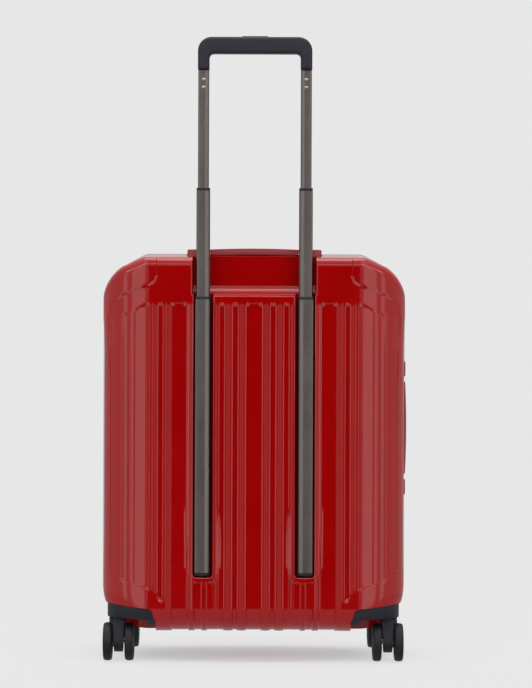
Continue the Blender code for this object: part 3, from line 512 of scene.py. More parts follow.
def columns(x_lines, z_lines, rim):
    """Each column of the band: its start on the rim, its end on the face, its depth and kind."""
    found = []
    top_z, bottom_z = rim[0, 1], rim[-1, 1]
    for x in x_lines:
        found.append(((x, top_z), (x, FACE_TOP), TOP_DEPTH, "top"))
    length = np.concatenate([[0], np.cumsum(np.linalg.norm(np.diff(rim, axis=0), axis=1))])

    def at_length(value):
        return (np.interp(value, length, rim[:, 0]), np.interp(value, length, rim[:, 1]))

    order = np.argsort(-rim[:, 1], kind="stable")
    downward = -rim[order, 1]
    from_top = np.interp(-FACE_TOP, downward, length[order])
    to_bottom = np.interp(-FACE_BOTTOM, downward, length[order])
    first = length[1]
    if rim[1, 0] > FACE_HALF:
        first = np.interp(FACE_HALF, [rim[0, 0], rim[1, 0]], [0, length[1]])
    first = min(first, from_top)
    last = length[-1] - FACE_HALF
    for step in range(1, FAN):
        share = step / FAN
        p = at_length(first + (from_top - first) * share)
        depth = TOP_DEPTH + (SIDE_DEPTH - TOP_DEPTH) * smooth_step(share * TOP_FAN_PACE)
        found.append((p, (FACE_HALF, FACE_TOP), float(depth), "top_fan"))
    for z in reversed(z_lines):
        x = np.interp(-z, downward, rim[order, 0])
        found.append(((x, z), (FACE_HALF, z), SIDE_DEPTH, "side"))
    for step in range(1, FAN):
        share = step / FAN
        p = at_length(to_bottom + (last - to_bottom) * share)
        depth = SIDE_DEPTH + (BOTTOM_DEPTH - SIDE_DEPTH) * share
        found.append((p, (FACE_HALF, FACE_BOTTOM), depth, "bottom_fan"))
    for x in reversed(x_lines):
        found.append(((x, bottom_z), (x, FACE_BOTTOM), BOTTOM_DEPTH, "bottom"))
    return found


def band_points(found, angles, rim, wall):
    """Rows of points from the rim to the face for every column, at |x| and |y|."""
    count = len(found)
    p = np.array([c[0] for c in found])
    q = np.array([c[1] for c in found])
    depth = np.array([c[2] for c in found])
    reach = np.linalg.norm(p - q, axis=1)
    start = np.minimum(DRAFT * (FACE_Y - depth - STRAIGHT_Y) / reach, 1)
    rows = [
        np.stack([p[:, 0], np.full(count, RIM_Y if not wall else RIM_Y - BEYOND), p[:, 1]], 1),
        np.stack([p[:, 0], np.full(count, STRAIGHT_Y), p[:, 1]], 1),
    ]
    drafted = p + (q - p) * (start / 2)[:, None]
    rows.append(np.stack([drafted[:, 0], (STRAIGHT_Y + FACE_Y - depth) / 2, drafted[:, 1]], 1))
    upper = p[:, 1] > UPPER_PART
    core = np.stack([q[:, 0], FACE_Y - depth, q[:, 1]], 1)
    for angle in angles:
        share = start + (1 - start) * (1 - cos(angle))
        at = p + (q - p) * share[:, None]
        y = FACE_Y - wall - depth * (1 - sin(angle))
        row = np.stack([at[:, 0], y, at[:, 1]], 1)
        ray = row - core
        low, high = np.full(count, 0.2), np.full(count, 3.0)
        for _ in range(HALVINGS):
            middle = (low + high) / 2
            out = outside(core + ray * middle[:, None], rim, wall) > 0
            high = np.where(out, middle, high)
            low = np.where(out, low, middle)
        solved = core + ray * ((low + high) / 2)[:, None]
        rows.append(np.where(upper[:, None], solved, row))
    return np.array(rows)


# Relief: ribs, lips, the smooth yoke and corners


def arc_place(angle_degrees):
    """How far round the plan section a corner angle is from the middle of the face."""
    return FACE_HALF + CORNER_MEAN * radians(90 - angle_degrees)


def raised_bands(side):
    ribs = REAR_RIBS if side == REAR else FRONT_RIBS
    bands = sorted([*ribs, *(LIPS if side == REAR else ())])
    bands += [(arc_place(a), arc_place(b)) for a, b in CORNER_RIBS]
    return bands


def groove_top(x):
    sloped = GROOVE_TOP - np.maximum(x - GROOVE_SLOPE_FROM, 0) * GROOVE_SLOPE
    return np.maximum(sloped, GROOVE_TOP_LOWEST)


def under_line(line, x, z):
    """Signed distance from a line of (x, z) points, above nought under it."""
    xs, zs = np.array(line).T
    scale = np.interp(x, (xs[:-1] + xs[1:]) / 2, 1 / np.hypot(1, np.diff(zs) / np.diff(xs)))
    return (np.where(x < xs[0], -1.0, np.interp(x, xs, zs)) - z) * scale


def inside_corner(first, second, radius):
    """Signed distance of the meeting of two half planes, its corner rounded."""
    a, b = first + radius, second + radius
    return np.hypot(np.maximum(a, 0), np.maximum(b, 0)) + np.minimum(np.maximum(a, b), 0) - radius


def relief(side, s, x, z):
    """Height above the flats at distance `s` round the section, and at |x|, z."""
    bands = raised_bands(side)
    grooves = [(-bands[0][0], bands[0][0])]
    grooves += [(a[1], b[0]) for a, b in zip(bands, bands[1:])]
    grooves.append((bands[-1][1], 1.0))
    below = z - groove_top(x)
    above = under_line(PATCH_EDGE, x, z)
    depth = np.zeros_like(s)
    for low, high in grooves:
        if side == REAR and abs(low - LIPS[0][1]) < 1e-6:
            continue
        from_groove = np.abs(s - (low + high) / 2) - (high - low) / 2
        upper_end = inside_corner(from_groove, below, GROOVE_CORNER)
        lower_end = inside_corner(from_groove, above, GROOVE_LOWER_CORNER)
        into = -np.where(below > above, upper_end, lower_end)
        flank = FLANK + (GROOVE_TOP_FLANK - FLANK) * smooth_step((below + TOP_FADE) / TOP_FADE)
        depth = np.maximum(depth, smooth_step(into / flank))
    height = RIB_HEIGHT * (1 - depth)
    if side == REAR:
        height = below_channel(s, z, height)
    for low, high in bands:
        middle, half = (low + high) / 2, (high - low) / 2
        w = np.abs(s - middle) / half
        fade = smooth_step(-below / CROWN_FADE) * smooth_step(-above / CROWN_FADE)
        height = height - np.where(w < 1, CROWN * w ** CROWN_POWER, 0) * fade
    panel = inside_corner(PANEL_EDGE_X - x, under_line(PANEL_EDGE, x, z), PANEL_CORNER)
    return height + PANEL_RISE * smooth_step(-panel / PANEL_FLANK) * (x > PANEL_FROM)


def below_channel(s, z, height):
    """The lip that closes round each channel's end, and the two ribs that run down from it."""
    middle = sum(CHANNEL_X) / 2
    half = (CHANNEL_X[1] - CHANNEL_X[0]) / 2
    lip = inside_corner(np.abs(s - middle) - half, CHANNEL_BOTTOM - z, LIP_CORNER) - CHANNEL_LIP
    low_x, high_x = LIPS[0][0] - LIP_MARGIN, LIPS[1][1] + LIP_MARGIN
    zone = (s > low_x) & (s < high_x) & (z < LIP_ZONE_TOP)
    raised = smooth_step(-lip / FLANK)
    for low, high in BELOW_CHANNEL_RIBS:
        from_rib = np.abs(s - (low + high) / 2) - (high - low) / 2
        rib = inside_corner(from_rib, z - CHANNEL_BOTTOM, LIP_MARGIN)
        raised = np.maximum(raised, smooth_step(-rib / FLANK))
    return np.where(zone, RIB_HEIGHT * raised, height)


FLANK_SHARES = (0.0, 0.33, 0.67, 1.0)
LEAST_SPACING = 0.00025


def lines(low, high, edges, step):
    """Sorted grid lines from low to high, dense across the flanks at the edges."""
    wanted = [low, high]
    for edge, way in edges:
        wanted += [edge + way * FLANK * share for share in FLANK_SHARES]
    wanted = sorted(v for v in wanted if low <= v <= high)
    merged = [wanted[0]]
    for value in wanted[1:]:
        if value - merged[-1] > LEAST_SPACING:
            merged.append(value)
    merged[-1] = high
    filled = [merged[0]]
    for value in merged[1:]:
        count = max(int(np.ceil((value - filled[-1]) / step - 1e-6)), 1)
        start = filled[-1]
        filled += [start + (value - start) * k / count for k in range(1, count + 1)]
    return filled


def corner_angles():
    """Angles round the corner of the plan, closer together across the ribs' flanks."""
    flank = np.degrees(FLANK / CORNER_MEAN)
    found = set()
    for a, b in CORNER_RIBS:
        for share in FLANK_SHARES:
            found.add(round(a + share * flank, 3))
            found.add(round(b - share * flank, 3))
        for way in (-0.5, 0, 0.5):
            found.add(round((a + b) / 2 + way * flank, 3))
    for value in range(0, 91, 3):
        if min(abs(value - near) for near in found) > 0.4:
            found.add(value)
    return [radians(v) for v in sorted(found)]


# Where each stretch of grid lines up the face starts, and their spacing there
FACE_Z_STRETCHES = (
    (FACE_BOTTOM, 0.0014), (0.124, 0.045), (0.448, 0.0011), (0.474, 0.0016), (FACE_TOP, 0),
)
FACE_X_SPACING = 0.0022
COARSE_Z = [FACE_BOTTOM, 0.12, 0.30, 0.43, 0.45, 0.47, 0.49, FACE_TOP]


def fine_lines(side):
    """Grid lines across and up the face."""
    bands = [b for b in raised_bands(side) if b[1] < FACE_HALF]
    if side == REAR:
        bands += BELOW_CHANNEL_RIBS
    edges = [(low, -1) for low, _ in bands] + [(high, 1) for _, high in bands]
    edges += [((low + high) / 2, way / 2) for low, high in bands for way in (-1, 1)]
    z_lines = []
    for (low, spacing), (high, _) in zip(FACE_Z_STRETCHES, FACE_Z_STRETCHES[1:]):
        z_lines[-1:] = lines(low, high, [], spacing)
    return lines(0, FACE_HALF, [*edges, (PANEL_EDGE_X, 1)], FACE_X_SPACING), z_lines


WALL_ROWS = 3  # rows of the band on the drafted wall, before the corner starts


def band_rises(side, number, row, angles, kinds):
    """How far each point of a row of the band is raised: least near the rim and the top's edge."""
    phi = np.degrees(angles[number - WALL_ROWS] if number >= WALL_ROWS else 0)
    co = np.array([v.co for v in row])
    x, z = np.abs(co[:, 0]), co[:, 2]
    at_top = np.char.startswith(kinds, "top")
    at_bottom = np.char.startswith(kinds, "bottom")
    s = np.where(kinds == "side", arc_place(phi), x)
    height = relief(side, s, x, np.where(at_bottom, np.minimum(z, FACE_BOTTOM), z))
    height = np.where(kinds == "bottom_fan", RIB_HEIGHT, height)
    if number < WALL_ROWS - 1:
        return height * 0.0
    if number == WALL_ROWS - 1:
        return height * np.where(at_bottom, 0.9, 0.0)
    top_fade = smooth_step(phi / 60)
    side_fade = smooth_step((phi + 2) / 20)
    return height * np.where(at_top, top_fade, np.where(at_bottom, 1.0, side_fade))


WELD = 0.00002
COARSE_WELD = 0.0005


def raise_relief(side, halves, x_lines, z_lines, angles, kinds):
    """Move the points of the band and the face out by the relief, along the surface's normal."""
    rises = {}
    for band, grid in halves:
        for number, row in enumerate(band):
            rises.update(zip(row, band_rises(side, number, row, angles, kinds)))
        z_grid, x_grid = np.meshgrid(z_lines, x_lines, indexing="ij")
        height = relief(side, x_grid.ravel(), x_grid.ravel(), z_grid.ravel())
        rises.update(zip([vert for line in grid for vert in line], height))
    centre = Vector((0, side * 0.02, MIDDLE_Z))
    outward = {}
    for vert in rises:
        away = vert.normal.dot(vert.co - centre) > 0
        outward[vert] = vert.normal.copy() if away else -vert.normal
    for vert, rise in rises.items():
        on_face = abs(vert.co.y) > FACE_Y - 1e-5
        vert.co = vert.co + (Vector((0, side, 0)) if on_face else outward[vert]) * float(rise)


def shell_block(side, fine, wall=0.0):
    """The closed block of a shell's outside, or of its hollow when `wall` is given."""
    rim = rim_outline(wall)
    if fine:
        x_lines, z_lines = fine_lines(side)
        angles = corner_angles()
    else:
        x_lines, z_lines = list(np.linspace(0, FACE_HALF, 5)), COARSE_Z
        angles = [radians(v) for v in (0, 15, 30, 45, 60, 75, 90)]
    found = columns(x_lines, z_lines, rim)
    rows = band_points(found, angles, rim, wall)
    bm = bmesh.new()
    halves = []
    for hand in (-1, 1):
        band = [[bm.verts.new((hand * x, side * y, z)) for x, y, z in row] for row in rows]
        join_rows(bm, band)
        face_y = side * (FACE_Y - wall)
        grid = [[bm.verts.new((hand * x, face_y, z)) for x in x_lines] for z in z_lines]
        join_rows(bm, grid)
        halves.append((band, grid))
    bmesh.ops.recalc_face_normals(bm, faces=bm.faces)
    if fine:
        kinds = np.array([column[3] for column in found])
        raise_relief(side, halves, x_lines, z_lines, angles, kinds)
    bmesh.ops.remove_doubles(bm, verts=bm.verts, dist=WELD if fine else COARSE_WELD)
    bmesh.ops.contextual_create(bm, geom=[e for e in bm.edges if e.is_boundary])
    return bm


# Recesses cut out of the shells

BRACKET_UPPER = ((0.1368, 0.0695), (0.1307, 0.0635), (0.1276, 0.0508))
BRACKET_TOP = 0.0752
BRACKET_SHOULDER = 0.004
BRACKET_OUTER_X = 0.1915
WELL_Y = 0.0185
HANDLE_HALF = 0.0885
TOP_POCKET_Y = (-0.062, -0.012)
SIDE_POCKET_Y = (-0.0485, -0.0135)
POCKET_DEPTH = 0.0140
POCKET_HALF = HANDLE_HALF + 0.001
POCKET_RADIUS = 0.006
CHANNEL_RADIUS = 0.0045
YOKE_RADIUS = 0.003
YOKE_STEPS = 10
MOUTH_RADIUS = 0.0012
MOUTH_STEPS = 4
SKIN_Y = FACE_Y + RIB_HEIGHT


def flared(outline_at, deep_y, grow, steps=1):
    """A cutter whose mouth opens in a small round where it meets the raised surface."""
    reach = SKIN_Y - MOUTH_RADIUS - deep_y
    levels = [deep_y + reach * (1 - cos(pi / 2 * step / steps)) for step in range(steps + 1)]
    offsets = [0.0] * len(levels)
    if grow == 0:
        levels.insert(0, deep_y)
        offsets.insert(0, -MOUTH_RADIUS)
        for step in range(1, MOUTH_STEPS + 1):
            angle = pi / 2 * step / MOUTH_STEPS
            levels.append(SKIN_Y - MOUTH_RADIUS * (1 - sin(angle)) + 0.00001 * step)
            offsets.append(MOUTH_RADIUS * (1 - cos(angle)))
    levels.append(SKIN_Y + BEYOND)
    offsets.append(offsets[-1])
    outlines = [outline_at(grow + offset, y) for offset, y in zip(offsets, levels)]
    return loft(outlines, "Y", [REAR * y for y in levels])


def channel(hand, grow):
    def outline_at(offset, _):
        low_x, high_x = CHANNEL_X[0] - offset, CHANNEL_X[1] + offset
        low_z, radius = CHANNEL_BOTTOM - offset, CHANNEL_RADIUS + offset
        corners = [
            (high_x, CHANNEL_TOP, 0), (high_x, low_z, radius),
            (low_x, low_z, radius), (low_x, CHANNEL_TOP, 0),
        ]
        return handed(corners, hand)

    return flared(outline_at, CHANNEL_FLOOR_Y - grow, grow)


def yoke_recess(grow):
    def outline_at(offset, y):
        share = min(max((FACE_Y - y) / (FACE_Y - YOKE_WALL_Y), 0), 1)
        curl = 1 - cos(asin(share))
        floor_z = YOKE_FLOOR[0] + (YOKE_FLOOR[1] - YOKE_FLOOR[0]) * curl - offset
        half = YOKE_HALF_WIDTH + offset
        corners = [
            (half, TOP + BEYOND, 0), (half, floor_z, YOKE_RADIUS + offset),
            (-half, floor_z, YOKE_RADIUS + offset), (-half, TOP + BEYOND, 0),
        ]
        return rounded(corners)

    return flared(outline_at, YOKE_WALL_Y - grow, grow, YOKE_STEPS)


def well(side, hand, grow):
    far = HALF_WIDTH + BEYOND
    (inner_x, inner_z), _, (low_x, low_z) = BRACKET_UPPER
    slope = (BRACKET_TOP - inner_z) / (BRACKET_OUTER_X - inner_x)
    far_top = BRACKET_TOP + slope * (far - BRACKET_OUTER_X)
    shift = GAP + grow
    corners = [
        (far, far_top + shift, 0), (far, -BEYOND, 0), (low_x - shift, -BEYOND, 0),
        (low_x - shift, low_z, 0.006),
        (inner_x - BRACKET_SHOULDER - shift, inner_z + shift, 0.007),
    ]
    return prism(handed(corners, hand), "Y", side * (WELL_Y - grow), side * (FACE_Y + BEYOND))


def top_pocket(grow):
    low_y, high_y = TOP_POCKET_Y
    return hollow_for((-POCKET_HALF, low_y), (POCKET_HALF, high_y), grow, POCKET_RADIUS, "Z",
                      TOP - POCKET_DEPTH - grow, TOP + BEYOND)


def side_pocket(grow):
    low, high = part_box("side_handle_second_mount")[0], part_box("side_handle_first_mount")[1]
    middle = (low.z + high.z) / 2
    low_y, high_y = SIDE_POCKET_Y
    return hollow_for((low_y, middle - POCKET_HALF), (high_y, middle + POCKET_HALF), grow,
                      POCKET_RADIUS, "X", HALF_WIDTH - POCKET_DEPTH - grow, HALF_WIDTH + BEYOND)


def lock_hole():
    low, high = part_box("lock_body")
    return hollow_for(across(low, "X"), across(high, "X"), GAP, 0.0, "X",
                      low.x - BEYOND, HALF_WIDTH + BEYOND)


def make_shell(name, side, recesses, material):
    shell = make_object(name + "_skin", shell_block(side, True), material)
    hollow = make_object("hollow", shell_block(side, False, WALL))
    for recess in recesses:
        combine(shell, recess(0), "DIFFERENCE")
        combine(hollow, recess(WALL), "DIFFERENCE")
    bm = bmesh.new()
    bm.from_mesh(hollow.data)
    combine(shell, bm, "DIFFERENCE")
    bpy.data.objects.remove(hollow)
    return shell


def make_shells(materials):
    recesses = [partial(well, REAR, hand) for hand in (-1, 1)]
    recesses += [yoke_recess, partial(channel, -1), partial(channel, 1), top_pocket, side_pocket]
    rear = make_shell("rear_shell", REAR, recesses, materials["shell"])
    piece(settle(rear), "rear_case", "shell_red", "rear_shell")
    recesses = [partial(well, FRONT, hand) for hand in (-1, 1)]
    front = make_shell("front_shell", FRONT, recesses, materials["shell"])
    combine(front, lock_hole(), "DIFFERENCE")
    piece(settle(front), "front_case", "shell_red", "front_shell")


# Trolley

TUBE_WALL = 0.0012
TUBE_EDGE_RADIUS = 0.0020
TUBE_INNER_SHARE = (0.85, 0.60)
END_CHAMFER = 0.0004


TUBE_LEAST_RADIUS = 0.0006
TUBE_CORNER_STEPS = 8


def tube_section(node, hand, grow=0.0):
    """A trolley piece's section: nearly square outside, rounder on the side that faces in."""
    low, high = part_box(node)
    half = Vector(((high.x - low.x) / 2 + grow, (high.y - low.y) / 2 + grow))
    outer_radius = max(TUBE_EDGE_RADIUS + grow, TUBE_LEAST_RADIUS)
    outer = Vector((outer_radius, outer_radius))
    inner = Vector((half.x * TUBE_INNER_SHARE[0], half.y * TUBE_INNER_SHARE[1]))
    outline = []
    for x_way, y_way, radii, start in (
        (1, -1, outer, 0), (-1, -1, inner, -pi / 2), (-1, 1, inner, -pi), (1, 1, outer, pi / 2),
    ):
        centre = Vector((x_way * (half.x - radii.x), y_way * (half.y - radii.y)))
        for step in range(TUBE_CORNER_STEPS + 1):
            angle = start - pi / 2 * step / TUBE_CORNER_STEPS
            outline.append(centre + Vector((radii.x * cos(angle), radii.y * sin(angle))))
    middle = middle_of(low, high).xy
    return [middle + Vector((hand * point.x, point.y)) for point in outline]


def ring_loft(loops_and_levels):
    """A closed ring through sections at levels, the last joined back to the first."""
    bm = bmesh.new()
    return close_ring(
        bm, [[bm.verts.new((p.x, p.y, z)) for p in outline] for outline, z in loops_and_levels])


def hollow_section(node, hand, inside):
    """A tube or collar with its ends lightly chamfered; `inside` is its wall's thickness."""
    low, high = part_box(node)
    chamfer = min(END_CHAMFER, (high.z - low.z) / 4)
    outer = tube_section(node, hand)
    eased = tube_section(node, hand, -chamfer)
    inner = tube_section(node, hand, -inside)
    return ring_loft([
        (outer, low.z + chamfer), (outer, high.z - chamfer), (eased, high.z),
        (inner, high.z), (inner, low.z), (eased, low.z),
    ])


DOME_LEVELS = 5
DOME_STEPS = 10


def add_dome(bm, centre, radii):
    """A closed shallow dome on a tube's rear face, facing -Y."""
    rings = []
    for level in range(DOME_LEVELS):
        angle = pi / 2 * level / DOME_LEVELS
        ring = []
        for step in range(DOME_STEPS):
            turn = 2 * pi * step / DOME_STEPS
            offset = Vector((cos(turn) * radii[0] * cos(angle), -radii[1] * sin(angle),
                             sin(turn) * radii[2] * cos(angle)))
            ring.append(bm.verts.new(Vector(centre) + offset))
        rings.append(ring)
    join_chain(bm, rings)
    fan_to(bm, rings[-1], Vector(centre) + Vector((0, -radii[1], 0)))
    bm.faces.new(rings[0])


STUD_DROPS = (0.0118, 0.0220)  # below the top of the tube
STUD_RADII = (0.0023, 0.00020, 0.0016)
STUD_SUNK = 0.00005  # so low that they slide into the collar with the tube


TUBES = {"outer_tube": "rear_case", "middle_tube": "trolley_middle", "upper_tube": "trolley_upper"}
COLLARS = (("lower_collar", "rear_case", 0.0015), ("upper_collar", "trolley_middle", 0.0014))
FOOT_STEPS = ((-0.0012, 0), (-0.0003, 0.0004), (0.0, 0.0012))  # growth, above the foot's end


def make_trolley(materials):
    for word, hand in (("left", -1), ("right", 1)):
        for kind, body in TUBES.items():
            node = f"{word}_{kind}"
            section = hollow_section(node, hand, TUBE_WALL)
            tube = make_object(node + "_skin", section, materials["tube"])
            piece(tube, body, "tube_gunmetal", node)
        low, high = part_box(f"{word}_upper_tube")
        bm = bmesh.new()
        for drop in STUD_DROPS:
            add_dome(bm, ((low.x + high.x) / 2, low.y + STUD_SUNK, high.z - drop), STUD_RADII)
        studs = make_object(f"{word}_upper_tube_studs", bm, materials["stud"])
        piece(studs, "trolley_upper", "tube_gunmetal")
        for kind, body, wall in COLLARS:
            node = f"{word}_{kind}"
            section = hollow_section(node, hand, wall)
            collar = make_object(node + "_skin", section, materials["plastic"])
            piece(collar, body, "dark_plastic", node)
        node = f"{word}_tube_foot"
        low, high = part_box(node)
        outlines = [tube_section(node, hand, grow) for grow, _ in (*FOOT_STEPS, (0.0, 0))]
        foot = loft(outlines, "Z", [*[low.z + rise for _, rise in FOOT_STEPS], high.z])
        piece(make_object(node + "_skin", foot, materials["plastic"]),
              "rear_case", "dark_plastic", node)


LEAST_RADIUS = 0.0008


def shifted(corners, distance):
    """Corners of a clockwise loop moved in by `distance`, with convex and hollow radii to match."""
    moved = []
    for index, (u, v, radius) in enumerate(corners):
        here = Vector((u, v))
        before = (here - Vector(corners[index - 1][:2])).normalized()
        after = (Vector(corners[(index + 1) % len(corners)][:2]) - here).normalized()
        first, second = Vector((before.y, -before.x)), Vector((after.y, -after.x))
        shift = (first + second) * distance / (1 + first.dot(second))
        convex = before.x * after.y - before.y * after.x < 0
        radius = radius - distance if convex else radius + distance
        moved.append((*(here + shift), max(radius, LEAST_RADIUS)))
    return moved


GRIP_LEG_INSIDE = 0.0594
GRIP_BAR_HEIGHT = 0.0214
GRIP_EDGE = 0.0040
GRIP_EDGE_STEPS = 6
GRIP_SHOULDER = 0.0180
GRIP_CROTCH = 0.0060
GRIP_LEG_RADIUS = 0.0012
GRIP_BUTTON_RADIUS = 0.0028
BUTTON_GAP = 0.0004
BUTTON_WELL = 0.0036  # how far the button's pocket goes on under it


def make_grip(materials):
    low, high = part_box("grip")
    middle_y = (low.y + high.y) / 2
    half_depth = (high.y - low.y) / 2
    underside = high.z - GRIP_BAR_HEIGHT
    leg_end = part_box("left_upper_tube")[1].z + GAP
    corners = both_sides([
        (high.x, high.z, GRIP_SHOULDER), (high.x, leg_end, GRIP_LEG_RADIUS),
        (GRIP_LEG_INSIDE, leg_end, GRIP_LEG_RADIUS), (GRIP_LEG_INSIDE, underside, GRIP_CROTCH),
    ])
    outlines, levels = [], []
    for way in (-1, 1):
        for step in range(GRIP_EDGE_STEPS + 1):
            angle = pi / 2 * (step if way < 0 else GRIP_EDGE_STEPS - step) / GRIP_EDGE_STEPS
            outlines.append(rounded(shifted(corners, GRIP_EDGE * (1 - sin(angle))), 8))
            levels.append(middle_y + way * (half_depth - GRIP_EDGE * (1 - cos(angle))))
    grip = make_object("grip_skin", loft(outlines, "Y", levels), materials["plastic"])
    button_low, button_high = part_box("grip_button")
    plan = across(button_low, "Z"), across(button_high, "Z")
    pocket = hollow_for(*plan, BUTTON_GAP, 0.0030, "Z", button_low.z - BUTTON_WELL, high.z + BEYOND)
    combine(grip, pocket, "DIFFERENCE")
    piece(settle(grip, 30), "trolley_upper", "grip_plastic", "grip")
    button = stacked("Z", *plan, GRIP_BUTTON_RADIUS, eased(button_low.z, button_high.z), True)
    piece(make_object("grip_button_skin", button, materials["plastic"]),
          "grip_button", "dark_plastic", "grip_button")


# Casters

WHEEL_STEPS = 64
TYRE_RADIUS = 0.0188
TYRE_EDGE = 0.0030
TYRE_EDGE_STEPS = 5
TYRE_EDGE_INSET = 0.0002
TYRE_CROWN = 0.0004
# The hub's profile on each side of a wheel: in from the wheel's face, and radius
HUB_INNER = (
    (0, 0.0029), (0, 0.0075), (0.0012, 0.0085), (0.0012, 0.0170), (0, TYRE_RADIUS - 0.0008),
    (0, TYRE_RADIUS),
)
HUB_OUTER = (
    (0, TYRE_RADIUS + 0.0002), (0.0006, TYRE_RADIUS - 0.0003), (0.0004, TYRE_RADIUS - 0.0012),
    (0.0005, 0.0165), (0.0022, 0.0155), (0.0026, 0.0095), (0.0008, 0.0082), (0.0002, 0.0060),
    (0, 0.0040), (0, 0.0029),
)
SWIVEL_X, SWIVEL_Y = 0.176, 0.0625
FORK_CROWN_RADIUS = 0.0125
FORK_CROWN = (0.0520, 0.0558)
FORK_CROWN_EDGE = 0.0008
FORK_POST_RADIUS = 0.0050
FORK_FOOT_RADIUS = 0.0135
FORK_FOOT_ARC = (200, 175)  # start and sweep
FORK_FOOT_STEPS = 24
FORK_BORE = 0.0028
POST_BORE, POST_BORE_TOP = 0.0054, 0.0678
# The fork's thickness: half of it at the axle, what it gains up to the crown, and over what height
FORK_HALF, FORK_GAIN, FORK_RISE = 0.0055, 0.0023, 0.0443
FORK_AXLE_Z = 0.0115
FORK_EDGE = 0.0016
FORK_SHRINK = 55
FORK_LAYERS = (
    (-1, 0.0016, 0), (-1, 0.0005, 0.0005), (-1, 0, 0.0016),
    (1, 0, 0.0016), (1, 0.0005, 0.0005), (1, 0.0016, 0),
)


def turned(profile, steps, centre, axis):
    """A closed profile of (along, radius) spun about an axis."""
    bm = bmesh.new()
    loops = []
    for index in range(steps):
        angle = 2 * pi * (index + 0.5) / steps
        loop = []
        for along, radius in profile:
            offset = place((radius * sin(angle), -radius * cos(angle)), axis, along)
            loop.append(bm.verts.new(Vector(centre) + Vector(offset)))
        loops.append(loop)
    return close_ring(bm, loops)


def bore_outline(u, v, radius):
    """A round hole's outline."""
    corners = rectangle((-radius, -radius), (radius, radius), radius - 0.00001)
    return [(u + p.x, v + p.y) for p in rounded(corners)]


def make_wheel(node, way, materials):
    """A twin wheel: a crowned tyre on a dished hub with a raised cap."""
    low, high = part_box(node)
    centre = middle_of(low, high)
    half = (high.x - low.x) / 2
    radius = (high.z - low.z) / 2
    shoulder = []
    for step in range(TYRE_EDGE_STEPS + 1):
        angle = pi / 2 * step / TYRE_EDGE_STEPS
        inset = TYRE_EDGE * (1 - cos(angle)) + TYRE_EDGE_INSET
        shoulder.append((inset, radius - TYRE_CROWN - TYRE_EDGE * (1 - sin(angle))))
    profile = [(inset - half, r) for inset, r in (*HUB_INNER, *shoulder)]
    profile.append((0, radius))
    profile += [(half - inset, r) for inset, r in (*reversed(shoulder), *HUB_OUTER)]
    bm = turned([(way * a, r) for a, r in profile], WHEEL_STEPS, centre, "X")
    wheel = make_object(node + "_skin", bm, materials["rubber"], 40)
    wheel.data.materials.append(materials["hub"])
    for face in wheel.data.polygons:
        from_axle = face.center - centre
        if Vector((from_axle.y, from_axle.z)).length < TYRE_RADIUS - 0.0004:
            face.material_index = 1
    piece(wheel, node, "wheel_rubber", node)


def make_fork(word, side, hand, materials):
    node = f"{word}_caster_fork"
    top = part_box(node)[1].z
    axle = middle_of(*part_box(f"{word}_caster_axle"))
    swivel_x = axle.x
    axle = Vector((axle.y * side, axle.z))
    crown_low, crown_high = FORK_CROWN
    behind, ahead = SWIVEL_Y - FORK_CROWN_RADIUS, SWIVEL_Y + FORK_CROWN_RADIUS
    outline = [(behind, crown_high), (behind, crown_low)]
    for step in range(FORK_FOOT_STEPS + 1):
        angle = radians(FORK_FOOT_ARC[0] + FORK_FOOT_ARC[1] * step / FORK_FOOT_STEPS)
        outline.append(tuple(axle + Vector((cos(angle), sin(angle))) * FORK_FOOT_RADIUS))
    outline += [(ahead, crown_low), (ahead, crown_high)]
    centre = Vector((sum(p[0] for p in outline), sum(p[1] for p in outline))) / len(outline)
    bm = bmesh.new()
    loops = []
    for way, inset, grow in FORK_LAYERS:
        loop = []
        for y, z in outline:
            half = FORK_HALF + FORK_GAIN * (z - FORK_AXLE_Z) / FORK_RISE - (FORK_EDGE - grow)
            point = centre + (Vector((y, z)) - centre) * (1 - inset * FORK_SHRINK)
            if z > crown_low - 0.001:
                point.y = z
            loop.append(bm.verts.new((swivel_x + way * half, side * point.x, point.y)))
        loops.append(loop)
    fork = make_object(node + "_skin", close_body(bm, loops), materials["plastic"])
    eased_radius = FORK_CROWN_RADIUS - FORK_CROWN_EDGE
    crown = [
        (crown_low, 0.0001), (crown_low, eased_radius),
        (crown_low + FORK_CROWN_EDGE, FORK_CROWN_RADIUS),
        (crown_high - FORK_CROWN_EDGE, FORK_CROWN_RADIUS), (crown_high, eased_radius),
        (crown_high, FORK_POST_RADIUS), (top, FORK_POST_RADIUS), (top, 0.0001),
    ]
    post = turned(crown, 48, (swivel_x, side * SWIVEL_Y, 0), "Z")
    bmesh.ops.holes_fill(post, edges=post.edges)
    combine(fork, post, "UNION")
    hole = bore_outline(side * axle.x, axle.y, FORK_BORE)
    combine(fork, prism(hole, "X", swivel_x - BEYOND, swivel_x + BEYOND), "DIFFERENCE")
    piece(settle(fork), f"{word}_fork", "dark_plastic", node)
    for place_name, way in (("inner", -hand), ("outer", hand)):
        make_wheel(f"{word}_{place_name}_wheel", way, materials)


BRACKET_Y = (0.0215, 0.0965)
BRACKET_UNDER = 0.0562
BRACKET_LOWER = ((0.1425, BRACKET_UNDER, 0.005), (0.1340, 0.0492, 0.0015))
BRACKET_PLAN_RADIUS = 0.045
# How the bracket's lower edge is eased: in from the side, up from its underside
BRACKET_EDGE = ((0.0012, -0.0001), (0.0003, 0.0006), (0, 0.0014))


